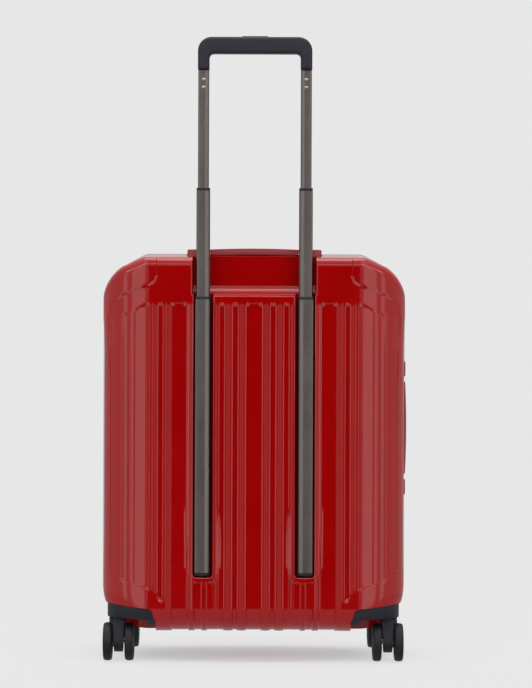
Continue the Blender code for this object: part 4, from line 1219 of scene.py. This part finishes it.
def make_bracket(word, side, hand, materials):
    node = f"{word}_caster_bracket"
    low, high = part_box(node)
    (inner_x, inner_z), _, (low_x, low_z) = BRACKET_UPPER
    corners = [
        (BRACKET_OUTER_X, high.z, 0), (BRACKET_OUTER_X, BRACKET_UNDER, 0), *BRACKET_LOWER,
        (low_x, low.z, 0.0006), (low_x, low_z, 0.003), (inner_x - BRACKET_SHOULDER, inner_z, 0.007),
    ]
    near_y, far_y = BRACKET_Y
    block = prism(handed(corners, hand, 5), "Y", side * near_y, side * far_y)
    bracket = make_object(node + "_skin", block, materials["plastic"])
    steps = [(inset, BRACKET_UNDER + rise) for inset, rise in BRACKET_EDGE]
    steps = [(steps[0][0], 0.0), *steps, (0, high.z + BEYOND)]
    outlines = []
    for inset, _ in steps:
        edge_x, edge_y = BRACKET_OUTER_X - inset + GAP, far_y - inset + GAP
        plan = [
            (edge_x, edge_y, BRACKET_PLAN_RADIUS), (edge_x, near_y - GAP, 0),
            (low_x - GAP, near_y - GAP, 0), (low_x - GAP, edge_y, 0),
        ]
        outlines.append(handed(plan, hand, 16, side))
    combine(bracket, loft(outlines, "Z", [level for _, level in steps]), "INTERSECT")
    hole = bore_outline(hand * SWIVEL_X, side * SWIVEL_Y, POST_BORE)
    combine(bracket, prism(hole, "Z", 0, POST_BORE_TOP), "DIFFERENCE")
    body = "rear_case" if side == REAR else "front_case"
    piece(settle(bracket, 40), body, "dark_plastic", node)


def make_casters(materials):
    for end, side in (("rear", REAR), ("front", FRONT)):
        for word, hand in (("left", -1), ("right", 1)):
            make_bracket(f"{end}_{word}", side, hand, materials)
            make_fork(f"{end}_{word}", side, hand, materials)


# Carry handles: drawn lying along X and rising in Z, then turned onto their wall

MOUNT_LENGTH = 0.0210
MOUNT_DROP = 0.0014
TONGUE_DROP = 0.0090
STRAP_THICK = 0.0088
STRAP_TONGUE = 0.0033
STRAP_TAPER = 0.004
STRAP_STEPS = 24
BEND_INSET = 0.008
BEND_REACH = 0.007
BEND_STEPS = 8
TONGUE_END = 0.006
MOUNT_MARGIN = 0.003
MOUNT_RADIUS = 0.004
MOUNT_EDGE = ((0, 0.0016), (0.0005, 0.0005), (0.0016, 0))
CAVITY_GAP = 0.0004
CAVITY_END = 0.004
CAVITY_BELOW, CAVITY_ROOF = 0.0044, 0.0022
HANDLES = {
    "top_handle": {
        "centre": (0, -0.037, TOP), "rise": 0.0065, "width": 0.022, "turn": Matrix.Identity(4),
    },
    "side_handle": {
        "centre": (HALF_WIDTH, -0.031, 0.3045), "rise": 0.0015, "width": 0.016,
        "turn": Matrix(((0, 0, 1, 0), (0, 1, 0, 0), (-1, 0, 0, 0), (0, 0, 0, 1))),
    },
}


def strap(handle):
    """An arched strap, thick along its grip and thin where its ends drop into the mounts."""
    edge = handle["rise"] - MOUNT_DROP
    bend_x = HANDLE_HALF - MOUNT_LENGTH - BEND_INSET
    line = []
    for step in range(STRAP_STEPS + 1):
        x = bend_x * step / STRAP_STEPS
        line.append((x, edge + MOUNT_DROP * (1 - (x / bend_x) ** 2)))
    for step in range(1, BEND_STEPS + 1):
        share = step / BEND_STEPS
        line.append((bend_x + BEND_REACH * share, edge - TONGUE_DROP * float(smooth_step(share))))
    line.append((HANDLE_HALF - TONGUE_END, edge - TONGUE_DROP))
    line = [*[(-x, z) for x, z in reversed(line[1:])], *line]
    half = handle["width"] / 2
    bm = bmesh.new()
    loops = []
    for x, z in line:
        share = float(smooth_step((bend_x - abs(x)) / STRAP_TAPER))
        thick = STRAP_TONGUE + (STRAP_THICK - STRAP_TONGUE) * share
        section = [(half - 0.0014, 0.0), (half - 0.0005, -0.0004), (half, -0.0014),
                   (half, 0.0008 - thick), (half - 0.0008, -thick)]
        section += [(-y, drop) for y, drop in reversed(section)]
        loops.append([bm.verts.new((x, y, z + drop)) for y, drop in section])
    return close_body(bm, loops)


def mount(handle, way):
    """A rounded block on the pocket's floor, hollow towards the middle for the strap's tongue."""
    top = handle["rise"] - MOUNT_DROP
    outer, inner = HANDLE_HALF, HANDLE_HALF - MOUNT_LENGTH
    half = handle["width"] / 2 + MOUNT_MARGIN
    low_x, high_x = sorted((way * inner, way * outer))
    steps = eased(GAP - POCKET_DEPTH, top, MOUNT_EDGE)
    block = make_object("mount", stacked("Z", (low_x, -half), (high_x, half), MOUNT_RADIUS, steps))
    low_x, high_x = sorted((way * (inner - BEYOND), way * (outer - CAVITY_END)))
    half = handle["width"] / 2
    cavity = hollow_for((low_x + CAVITY_GAP, -half), (high_x - CAVITY_GAP, half), CAVITY_GAP, 0.0,
                        "Z", top - TONGUE_DROP - CAVITY_BELOW, top - CAVITY_ROOF)
    combine(block, cavity, "DIFFERENCE")
    bm = bmesh.new()
    bm.from_mesh(block.data)
    bpy.data.objects.remove(block)
    return bm


def make_handles(materials):
    for name, handle in HANDLES.items():
        placed = Matrix.Translation(handle["centre"]) @ handle["turn"]
        parts = {f"{name}_grip": (strap(handle), name)}
        for word, way in (("first", -1), ("second", 1)):
            parts[f"{name}_{word}_mount"] = (mount(handle, way), "rear_case")
        for node, (bm, body) in parts.items():
            bm.transform(placed)
            thing = make_object(node + "_skin", bm, materials["handle_red"])
            piece(thing, body, "handle_red", node)


# Zip, hinge and linings

ZIP_INSET = 0.0030
TAPE_SECTION = (
    (-0.0013, 0.0026), (-0.0013, 0.0088), (-0.0010, 0.0092), (-0.0005, 0.0092), (-0.0002, 0.0088),
    (-0.0002, 0.0026),
)
TAPE_SPACING = 0.005
TOOTH_CENTRE = (-0.0008, 0.0012)
TOOTH_RADII = (0.00085, 0.00145)
TOOTH_SPACING = 0.0010
TOOTH_SIDES = 6


def evenly(outline, spacing):
    """An even number of points spaced evenly round a closed outline, and their outward normals."""
    points = np.array([tuple(p) for p in outline])
    closed = np.vstack([points, points[:1]])
    length = np.concatenate([[0], np.cumsum(np.linalg.norm(np.diff(closed, axis=0), axis=1))])
    count = int(length[-1] / spacing / 2) * 2
    at = np.arange(count) / count * length[-1]
    path = np.stack([np.interp(at, length, closed[:, axis]) for axis in (0, 1)], axis=1)
    along = np.roll(path, -1, axis=0) - np.roll(path, 1, axis=0)
    along /= np.linalg.norm(along, axis=1, keepdims=True)
    return path, np.stack([-along[:, 1], along[:, 0]], axis=1)


def swept(path, outward, section_of, side):
    """A closed band that runs round the case with its section, (outward, y), at each point."""
    bm = bmesh.new()
    loops = []
    for index, (point, normal) in enumerate(zip(path, outward)):
        loop = []
        for out, y in section_of(index):
            x, z = point + normal * out
            loop.append(bm.verts.new((x, side * y, z)))
        loops.append(loop)
    return close_ring(bm, loops)


def tooth(index):
    """One step of the teeth: wide and narrow by turns, so that the two halves mesh."""
    return circle(TOOTH_CENTRE, TOOTH_RADII[index % 2], TOOTH_SIDES)


def make_zip(materials):
    outline = rounded(shifted(both_sides(RIM_CORNERS), ZIP_INSET), 12)
    for word, side in (("rear", REAR), ("front", FRONT)):
        tape = swept(*evenly(outline, TAPE_SPACING), lambda index: TAPE_SECTION, side)
        thing = make_object(f"{word}_zip_tape", tape, materials["tape"])
        piece(thing, f"{word}_case", "zip_tape", f"{word}_zip_half")
        first = 0 if side == REAR else 1
        teeth = swept(*evenly(outline, TOOTH_SPACING), lambda index: tooth(index + first), side)
        thing = make_object(f"{word}_zip_teeth", teeth, materials["teeth"])
        piece(thing, f"{word}_case", "zip_tape")


PLATE_RADIUS = 0.0022
PLATE_EDGE = ((0, 0.0012), (0.0004, 0.0017), (0.0012, 0.0019))  # in from the side, up
SPINE = Vector((0.0013, 0.0042))  # half its width and length
SPINE_RADIUS = 0.0008
PULL_EDGE = 0.0003
PULL_RADII = (0.0014, 0.0030)
# The slots of a pull: above its lower end, length, half width
PULL_SLOTS = ((0.0035, 0.0080, 0.0015), (0.0180, 0.0030, 0.0016))


def make_slider(word, materials):
    """A slider with a raised spine and a pull with an eye and a finger slot."""
    node = f"{word}_zip_slider"
    low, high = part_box(node)
    middle = middle_of(low, high).yz
    steps = [(0, low.x), *[(inset, low.x + rise) for inset, rise in PLATE_EDGE]]
    plate = stacked("X", across(low, "X"), across(high, "X"), PLATE_RADIUS, steps, True)
    slider = make_object(node + "_skin", plate, materials["zinc"])
    steps = [(0, low.x + 0.0005), (0, high.x - 0.0004), (0.0004, high.x)]
    spine = stacked("X", middle - SPINE, middle + SPINE, SPINE_RADIUS, steps)
    combine(slider, spine, "UNION")
    piece(settle(slider), node, "zinc", node)
    node = f"{word}_zip_pull"
    low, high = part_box(node)
    levels = (low.x, low.x + PULL_EDGE, high.x - PULL_EDGE, high.x)
    outlines = []
    for inset in (PULL_EDGE, 0, 0, PULL_EDGE):
        low_y, high_y = low.y + inset, high.y - inset
        low_z, high_z = low.z + inset, high.z - inset
        outlines.append(rounded([
            (high_y, high_z, PULL_RADII[0]), (high_y, low_z, PULL_RADII[1]),
            (low_y, low_z, PULL_RADII[1]), (low_y, high_z, PULL_RADII[0]),
        ]))
    pull = make_object(node + "_skin", loft(outlines, "X", levels), materials["zinc"])
    for from_end, reach, half in PULL_SLOTS:
        start = low.z + from_end
        radius = 0.9 * min(half, reach / 2)
        slot = hollow_for((middle.x - half, start), (middle.x + half, start + reach), 0, radius,
                          "X", low.x - BEYOND, high.x + BEYOND)
        combine(pull, slot, "DIFFERENCE")
    piece(settle(pull), node, "zinc", node)


HINGE_LAPS = 0.0190
HINGE_THICKNESS = 0.0008
HINGE_PUCKER = 0.00012


def around(grid):
    """The points round the edge of a grid, in order."""
    inner = grid[1:-1]
    return [*grid[0], *[row[-1] for row in inner], *reversed(grid[-1]),
            *[row[0] for row in reversed(inner)]]


def make_hinge(materials):
    """A strip of cloth down the hinge side, sewn to both halves."""
    low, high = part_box("hinge_tape")
    bm = bmesh.new()
    ys = np.linspace(-HINGE_LAPS, HINGE_LAPS, 61)
    zs = np.linspace(low.z, high.z, 91)
    middle_x = (low.x + high.x) / 2
    sheets = []
    for face in (-0.5, 0.5):
        grid = []
        for y in ys:
            row = []
            for z in zs:
                pucker = HINGE_PUCKER * sin(z * 700) * sin(y * 260 + z * 90)
                row.append(bm.verts.new((middle_x + face * HINGE_THICKNESS + pucker, y, z)))
            grid.append(row)
        sheets.append(grid)
    for grid in sheets:
        join_rows(bm, grid)
    join_loops(bm, around(sheets[0]), around(sheets[1]))
    hinge = make_object("hinge_gusset", bm, materials["tape"], 60)
    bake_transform(hinge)
    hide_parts("hinge_tape")


LINING_RIM = (
    (0.134, 0.5165, 0.012), (0.1825, 0.491, 0.045), (0.1825, 0.0815, 0.004),
    (0.1215, 0.0815, 0.004), (0.1215, 0.0455, 0.006),
)
FRONT_LINING_FLOOR = (
    (0.125, 0.503, 0.012), (0.158, 0.484, 0.030), (0.158, 0.0815, 0.004),
    (0.1215, 0.0815, 0.004), (0.1215, 0.0580, 0.006),
)
LINING_THICKNESS = 0.0012
LINING_SPACING = 0.006
LINING_FLOOR_RINGS = 26
LINING_PUCKER = 0.0007
LINING_WALL_STEPS = 12


def make_lining(word, side, floor_corners, materials):
    """A tray of padded cloth, puckered a little inside."""
    low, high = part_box(f"{word}_lining")
    rim_y, floor_y = sorted((abs(low.y), abs(high.y)))
    rim, _ = evenly(rounded(both_sides(LINING_RIM), 10), LINING_SPACING)
    count = len(rim)
    floor, _ = evenly(rounded(both_sides(floor_corners), 10), LINING_SPACING * 0.5)
    picks = np.arange(count) / count * len(floor)
    closed = np.vstack([floor, floor[:1]])
    numbers = np.arange(len(closed))
    floor = np.stack([np.interp(picks, numbers, closed[:, axis]) for axis in (0, 1)], axis=1)
    centre = np.array([0.0, MIDDLE_Z])
    outer, inner = [], []
    for step in range(LINING_WALL_STEPS + 1):
        share = step / LINING_WALL_STEPS
        outline = rim * (1 - share) + floor * share
        depth = np.full(count, rim_y + (floor_y - rim_y) * share)
        outer.append((outline, depth))
        away = outline - centre
        away = away / np.linalg.norm(away, axis=1, keepdims=True)
        inner.append((outline - away * LINING_THICKNESS,
                      np.minimum(depth, floor_y - LINING_THICKNESS)))
    last, depth = inner[-1]
    for ring in range(1, LINING_FLOOR_RINGS):
        flat = centre + (last - centre) * (1 - ring / LINING_FLOOR_RINGS)
        x, z = flat.T
        pucker = np.sin(x * 95 + 2 * np.sin(z * 31)) * np.sin(z * 80 + x * 23)
        rise = LINING_PUCKER * (0.5 + 0.5 * pucker) * min(ring / 3, 1)
        inner.append((flat, depth - rise))
    bm = bmesh.new()
    loops = []
    for outline, ys in [*reversed(outer), *inner]:
        loops.append([bm.verts.new((x, side * y, z)) for (x, z), y in zip(outline, ys)])
    join_chain(bm, loops)
    bm.faces.new(loops[0])
    fan_to(bm, loops[-1], (centre[0], side * float(inner[-1][1][0]), centre[1]))
    lining = make_object(f"{word}_lining_skin", bm, materials["fabric"], 50)
    piece(lining, f"{word}_case", "lining_fabric", f"{word}_lining")


def make_soft_pieces(materials):
    make_lining("rear", REAR, LINING_RIM, materials)
    make_lining("front", FRONT, FRONT_LINING_FLOOR, materials)
    make_hinge(materials)


# Lock


LOCK_RADIUS = 0.0014
DIAL_MARGIN = 0.0004
DIAL_GAP = 0.0006
BUTTON_RADIUS = 0.0006
BUTTON_DEEP = 0.003
BUTTON_BEVEL = 0.0008
BUTTON_GROOVES, BUTTON_GROOVE = 4, 0.0005
KEY_EDGE = 0.0005
KEYHOLE = (0.0005, 0.0030)  # half its width and its length
KEYHOLE_DEPTH = 0.0030
KEY_STEPS = 40
DIAL_STEPS = 120
NOTCH_DEPTH = 0.0007
DIAL_EDGE = 0.0006
DIAL_BORE = 0.0020
AXLE_ENDS = ((0, 0.55), (0.0003, 0.85), (0.0009, 1.0))  # in from the end, share of the radius


def make_lock(materials):
    low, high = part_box("lock_body")
    block = stacked("X", across(low, "X"), across(high, "X"), LOCK_RADIUS, eased(low.x, high.x))
    body = make_object("lock_body_skin", block, materials["plastic"])
    dials = [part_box(f"lock_dial_{index}") for index in (1, 2, 3)]
    axis = middle_of(*dials[0]).xy
    radius = (dials[0][1].x - dials[0][0].x) / 2
    bank = prism(circle(axis, radius + DIAL_GAP, 48), "Z",
                 dials[0][0].z - DIAL_MARGIN, dials[2][1].z + DIAL_MARGIN)
    combine(body, bank, "DIFFERENCE")
    button_low, button_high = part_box("lock_button")
    pocket = hollow_for(across(button_low, "X"), across(button_high, "X"), BUTTON_GAP,
                        BUTTON_RADIUS, "X", button_low.x - BUTTON_DEEP, high.x + BEYOND)
    combine(body, pocket, "DIFFERENCE")
    key_low, key_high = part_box("key_cylinder")
    key_centre = middle_of(key_low, key_high).yz
    key_radius = (key_high.y - key_low.y) / 2
    outline = circle(key_centre, key_radius + BUTTON_GAP, KEY_STEPS)
    combine(body, prism(outline, "X", key_low.x - BUTTON_GAP, high.x + BEYOND), "DIFFERENCE")
    piece(settle(body), "front_case", "dark_plastic", "lock_body")
    for index, (dial_low, dial_high) in enumerate(dials):
        make_dial(f"lock_dial_{index + 1}", dial_low, dial_high, axis, radius, materials)
    make_lock_button(button_low, button_high, materials)
    levels = (key_low.x, key_high.x - KEY_EDGE, key_high.x)
    radii = (key_radius, key_radius, key_radius - KEY_EDGE)
    outlines = [circle(key_centre, r, KEY_STEPS) for r in radii]
    key = make_object("key_cylinder_skin", loft(outlines, "X", levels), materials["zinc"])
    half = Vector(KEYHOLE)
    keyhole = hollow_for(key_centre - half, key_centre + half, 0, 0, "X",
                         key_high.x - KEYHOLE_DEPTH, key_high.x + BEYOND)
    combine(key, keyhole, "DIFFERENCE")
    piece(settle(key), "key_cylinder", "zinc", "key_cylinder")


def make_lock_button(low, high, materials):
    """The release button, with finger grooves across its face."""
    outline = [(low.x, low.z), (high.x - BUTTON_BEVEL, low.z), (high.x, low.z + BUTTON_BEVEL)]
    for groove in range(BUTTON_GROOVES):
        middle = low.z + (high.z - low.z) * (groove + 1) / (BUTTON_GROOVES + 1)
        outline += [(high.x, middle - BUTTON_GROOVE), (high.x - BUTTON_GROOVE, middle),
                    (high.x, middle + BUTTON_GROOVE)]
    outline += [(high.x, high.z - BUTTON_BEVEL), (high.x - BUTTON_BEVEL, high.z), (low.x, high.z)]
    bm = prism(outline, "Y", low.y, high.y)
    piece(make_object("lock_button_skin", bm, materials["plastic"]),
          "lock_button", "dark_plastic", "lock_button")


def make_dial(node, low, high, axis, radius, materials):
    """A combination wheel with ten finger notches round its rim."""
    rim, inset_rim, bore = [], [], []
    for step in range(DIAL_STEPS):
        angle = 2 * pi * step / DIAL_STEPS
        wave = abs(((step % 12) - 6) / 6)
        reach = radius - NOTCH_DEPTH * float(smooth_step((wave - 0.55) / 0.45))
        for loop, r in ((rim, reach), (inset_rim, reach - DIAL_EDGE), (bore, DIAL_BORE)):
            loop.append(Vector((axis[0] + r * cos(angle), axis[1] + r * sin(angle))))
    bm = ring_loft([
        (rim, low.z + DIAL_EDGE), (rim, high.z - DIAL_EDGE), (inset_rim, high.z),
        (bore, high.z), (bore, low.z), (inset_rim, low.z),
    ])
    piece(make_object(node + "_skin", bm, materials["dial"]), node, "dark_plastic", node)


def make_axles(materials):
    for end in ("rear", "front"):
        for word in ("left", "right"):
            node = f"{end}_{word}_caster_axle"
            low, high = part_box(node)
            centre = middle_of(low, high).yz
            radius = (high.z - low.z) / 2
            steps = [(low.x + inset, share) for inset, share in AXLE_ENDS]
            steps += [(high.x - inset, share) for inset, share in reversed(AXLE_ENDS)]
            outlines = [circle(centre, radius * share, 24) for _, share in steps]
            axle = loft(outlines, "X", [level for level, _ in steps])
            piece(make_object(node + "_skin", axle, materials["zinc"]),
                  f"{end}_{word}_fork", "zinc", node)


# Materials on the CAD nodes that stay

NODE_MATERIALS = {
    "shell_red": "shell", "tube_gunmetal": "tube", "dark_plastic": "plastic",
    "grip_plastic": "plastic", "wheel_rubber": "rubber", "lining_fabric": "fabric",
    "zip_tape": "tape", "zinc": "zinc", "handle_red": "handle_red",
}


def dress_nodes(materials):
    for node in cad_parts.values():
        name = node.data.materials[0].name.split(".")[0]
        material = materials[NODE_MATERIALS.get(name, "plastic")]
        for place_in_list in node.material_slots:
            place_in_list.material = material


# Stage: camera, light, floor

PALE = 0.80
FLOOR_SHEEN = 0.50
FLOOR_ALBEDO = 0.70
# How much of the floor's light comes from the room, by distance from under the case; the rest glows
FLOOR_SHADE = ((0, 0.50), (0.07, 0.42), (0.11, 0.18), (0.20, 0.07), (0.50, 0.0), (1.0, 0.0))
FLOOR_STRETCH = 0.5
FLOOR_SIZE = 30.0
FLOOR_CLEAR = (0.55, 0.72)  # where the floor stops showing in reflections
CAMERA_DISTANCE = 3.35
CAMERA_HEIGHT = 0.4225
LENS = 131.0
SHIFT = (0.01715116, -0.00872093)
ROLL = radians(-0.2)


def make_camera():
    data = bpy.data.cameras.new("camera")
    data.lens = LENS
    data.sensor_width = 36
    data.shift_x, data.shift_y = SHIFT
    data.clip_end = 60
    camera = bpy.data.objects.new("camera", data)
    camera.location = (0, -CAMERA_DISTANCE, CAMERA_HEIGHT)
    camera.rotation_euler = (radians(90), ROLL, 0)
    bpy.context.scene.collection.objects.link(camera)
    bpy.context.scene.camera = camera


def math_node(tree, operation, *values):
    node = tree.nodes.new("ShaderNodeMath")
    node.operation = operation
    for index, value in enumerate(values):
        if isinstance(value, (int, float)):
            node.inputs[index].default_value = value
        else:
            tree.links.new(value, node.inputs[index])
    return node.outputs[0]


def curve_of(tree, value, points):
    """A piecewise linear function of a value from nought to one."""
    node = new_node(tree, "FloatCurve", Value=value)
    curve = node.mapping.curves[0]
    points = sorted(points)
    while len(curve.points) < len(points):
        curve.points.new(0.5, 0.5)
    for point, (x, y) in zip(curve.points, points):
        point.location = (x, y)
        point.handle_type = "VECTOR"
    node.mapping.update()
    return node.outputs["Value"]


def by_elevation(tree, z, low, high, degrees):
    """A value that goes from low to high between two elevations."""
    return spread(tree, z, low, high, *(sin(radians(angle)) for angle in degrees))


def mixed(tree, factor, first, second):
    mix = tree.nodes.new("ShaderNodeMixShader")
    for socket, value in zip(mix.inputs, (factor, first, second)):
        tree.links.new(value, socket)
    return mix.outputs[0]


# Brightness of the studio round the case, by angle from the camera's side in degrees
WALL_LIGHT = (
    (0, 0), (2.9, 0), (3.8, 0.60), (9, 0.64), (10.5, 2.0), (36, 2.0), (38.5, 0.8), (47, 0.8),
    (49, 1.9), (56, 1.9), (59, 0.85), (100, 0.8), (180, 0.6),
)
STRIP_LIGHT = 4.5
STRIP_ELEVATION = (17, 18.5, 21, 22.5)
OVERHEAD_GLOSS = 0.6
OVERHEAD_FROM = (58, 74)
FRONT_LIGHT = 0.8
LIGHT_SCALE = 4.0
TOP_LIGHT = 1.6
FRONT_ELEVATION = (4.5, 7)
CEILING_ELEVATION = (35, 55)


def make_world():
    world = bpy.data.worlds.new("studio")
    bpy.context.scene.world = world
    world.use_nodes = True
    tree = world.node_tree
    tree.nodes.clear()
    way = new_node(tree, "TexCoord").outputs["Generated"]
    x, y, z = new_node(tree, "SeparateXYZ", Vector=way).outputs
    back = math_node(tree, "MULTIPLY", y, -1.0)
    azimuth = math_node(tree, "ABSOLUTE", math_node(tree, "ARCTAN2", x, back))
    turn = math_node(tree, "DIVIDE", azimuth, pi)
    walls = curve_of(tree, turn, [(a / 180, b / LIGHT_SCALE) for a, b in WALL_LIGHT])
    walls = math_node(tree, "MULTIPLY", walls, LIGHT_SCALE)
    front = by_elevation(tree, z, 0.0, FRONT_LIGHT, FRONT_ELEVATION)
    walls = math_node(tree, "MAXIMUM", walls, front)
    ceiling = by_elevation(tree, z, 0.0, 1.0, CEILING_ELEVATION)
    top_light = math_node(tree, "MULTIPLY", ceiling, TOP_LIGHT)
    side_light = math_node(tree, "MULTIPLY", walls, math_node(tree, "SUBTRACT", 1.0, ceiling))
    total = math_node(tree, "ADD", side_light, top_light)
    rise = by_elevation(tree, z, 0.0, STRIP_LIGHT, STRIP_ELEVATION[:2])
    fall = by_elevation(tree, z, STRIP_LIGHT, 0.0, STRIP_ELEVATION[2:])
    in_front = spread(tree, azimuth, 1.0, 0.0, radians(60), radians(70))
    strip = math_node(tree, "MULTIPLY", math_node(tree, "MINIMUM", rise, fall), in_front)
    high = by_elevation(tree, z, 0.0, OVERHEAD_GLOSS, OVERHEAD_FROM)
    path = tree.nodes.new("ShaderNodeLightPath").outputs
    glossy = math_node(tree, "ADD", strip, high)
    glossy = math_node(tree, "MULTIPLY", glossy, path["Is Glossy Ray"])
    lit = new_node(tree, "Background", Strength=math_node(tree, "ADD", total, glossy))
    pale = new_node(tree, "Background", Color=(PALE, PALE, PALE, 1))
    surface = mixed(tree, path["Is Camera Ray"], lit.outputs[0], pale.outputs[0])
    new_node(tree, "OutputWorld", Surface=surface)


def make_floor():
    bm = bmesh.new()
    corners = [(-1, -1), (1, -1), (1, 1), (-1, 1)]
    bm.faces.new([bm.verts.new((x * FLOOR_SIZE, y * FLOOR_SIZE, 0)) for x, y in corners])
    mesh = bpy.data.meshes.new("floor")
    bm.to_mesh(mesh)
    bm.free()
    floor = bpy.data.objects.new("floor", mesh)
    bpy.context.scene.collection.objects.link(floor)
    material, tree, shader = new_material("pale_floor")
    tree.nodes.remove(shader)
    where = new_node(tree, "TexCoord").outputs["Object"]
    x, y, _ = new_node(tree, "SeparateXYZ", Vector=where).outputs
    deep = math_node(tree, "MULTIPLY", y, y)
    square = math_node(tree, "ADD", math_node(tree, "MULTIPLY", x, x), deep)
    distance = math_node(tree, "SQRT", square)
    narrow = math_node(tree, "MULTIPLY", x, FLOOR_STRETCH)
    oval = math_node(tree, "ADD", math_node(tree, "MULTIPLY", narrow, narrow), deep)
    shade = curve_of(tree, math_node(tree, "SQRT", oval), FLOOR_SHADE)
    albedo = (FLOOR_ALBEDO, FLOOR_ALBEDO, FLOOR_ALBEDO, 1)
    diffuse = new_node(tree, "BsdfDiffuse", Color=albedo).outputs[0]
    glow = new_node(tree, "Emission", Color=(PALE, PALE, PALE, 1)).outputs[0]
    seen = mixed(tree, shade, glow, diffuse)
    sheen = new_node(tree, "Emission", Strength=FLOOR_SHEEN).outputs[0]
    clear = new_node(tree, "BsdfTransparent").outputs[0]
    reflected = mixed(tree, spread(tree, distance, 0.0, 1.0, *FLOOR_CLEAR), sheen, clear)
    path = new_node(tree, "LightPath").outputs
    surface = mixed(tree, path["Is Glossy Ray"], seen, reflected)
    tree.links.new(surface, tree.nodes["Material Output"].inputs["Surface"])
    mesh.materials.append(material)


OVERHEAD_SIZE = (2.0, 1.6)
OVERHEAD_ENERGY = 26
OVERHEAD_AT = (0, -0.2, 2.4)


def make_light():
    data = bpy.data.lights.new("overhead", "AREA")
    data.shape = "RECTANGLE"
    data.size, data.size_y = OVERHEAD_SIZE
    data.energy = OVERHEAD_ENERGY
    light = bpy.data.objects.new("overhead", data)
    light.location = OVERHEAD_AT
    bpy.context.scene.collection.objects.link(light)


def main():
    bpy.context.scene.view_settings.view_transform = "Standard"
    materials = make_materials()
    dress_nodes(materials)
    make_shells(materials)
    make_trolley(materials)
    make_grip(materials)
    make_casters(materials)
    make_handles(materials)
    make_zip(materials)
    for word in ("upper", "lower"):
        make_slider(word, materials)
    make_soft_pieces(materials)
    make_lock(materials)
    make_axles(materials)
    make_camera()
    make_world()
    make_floor()
    make_light()


main()
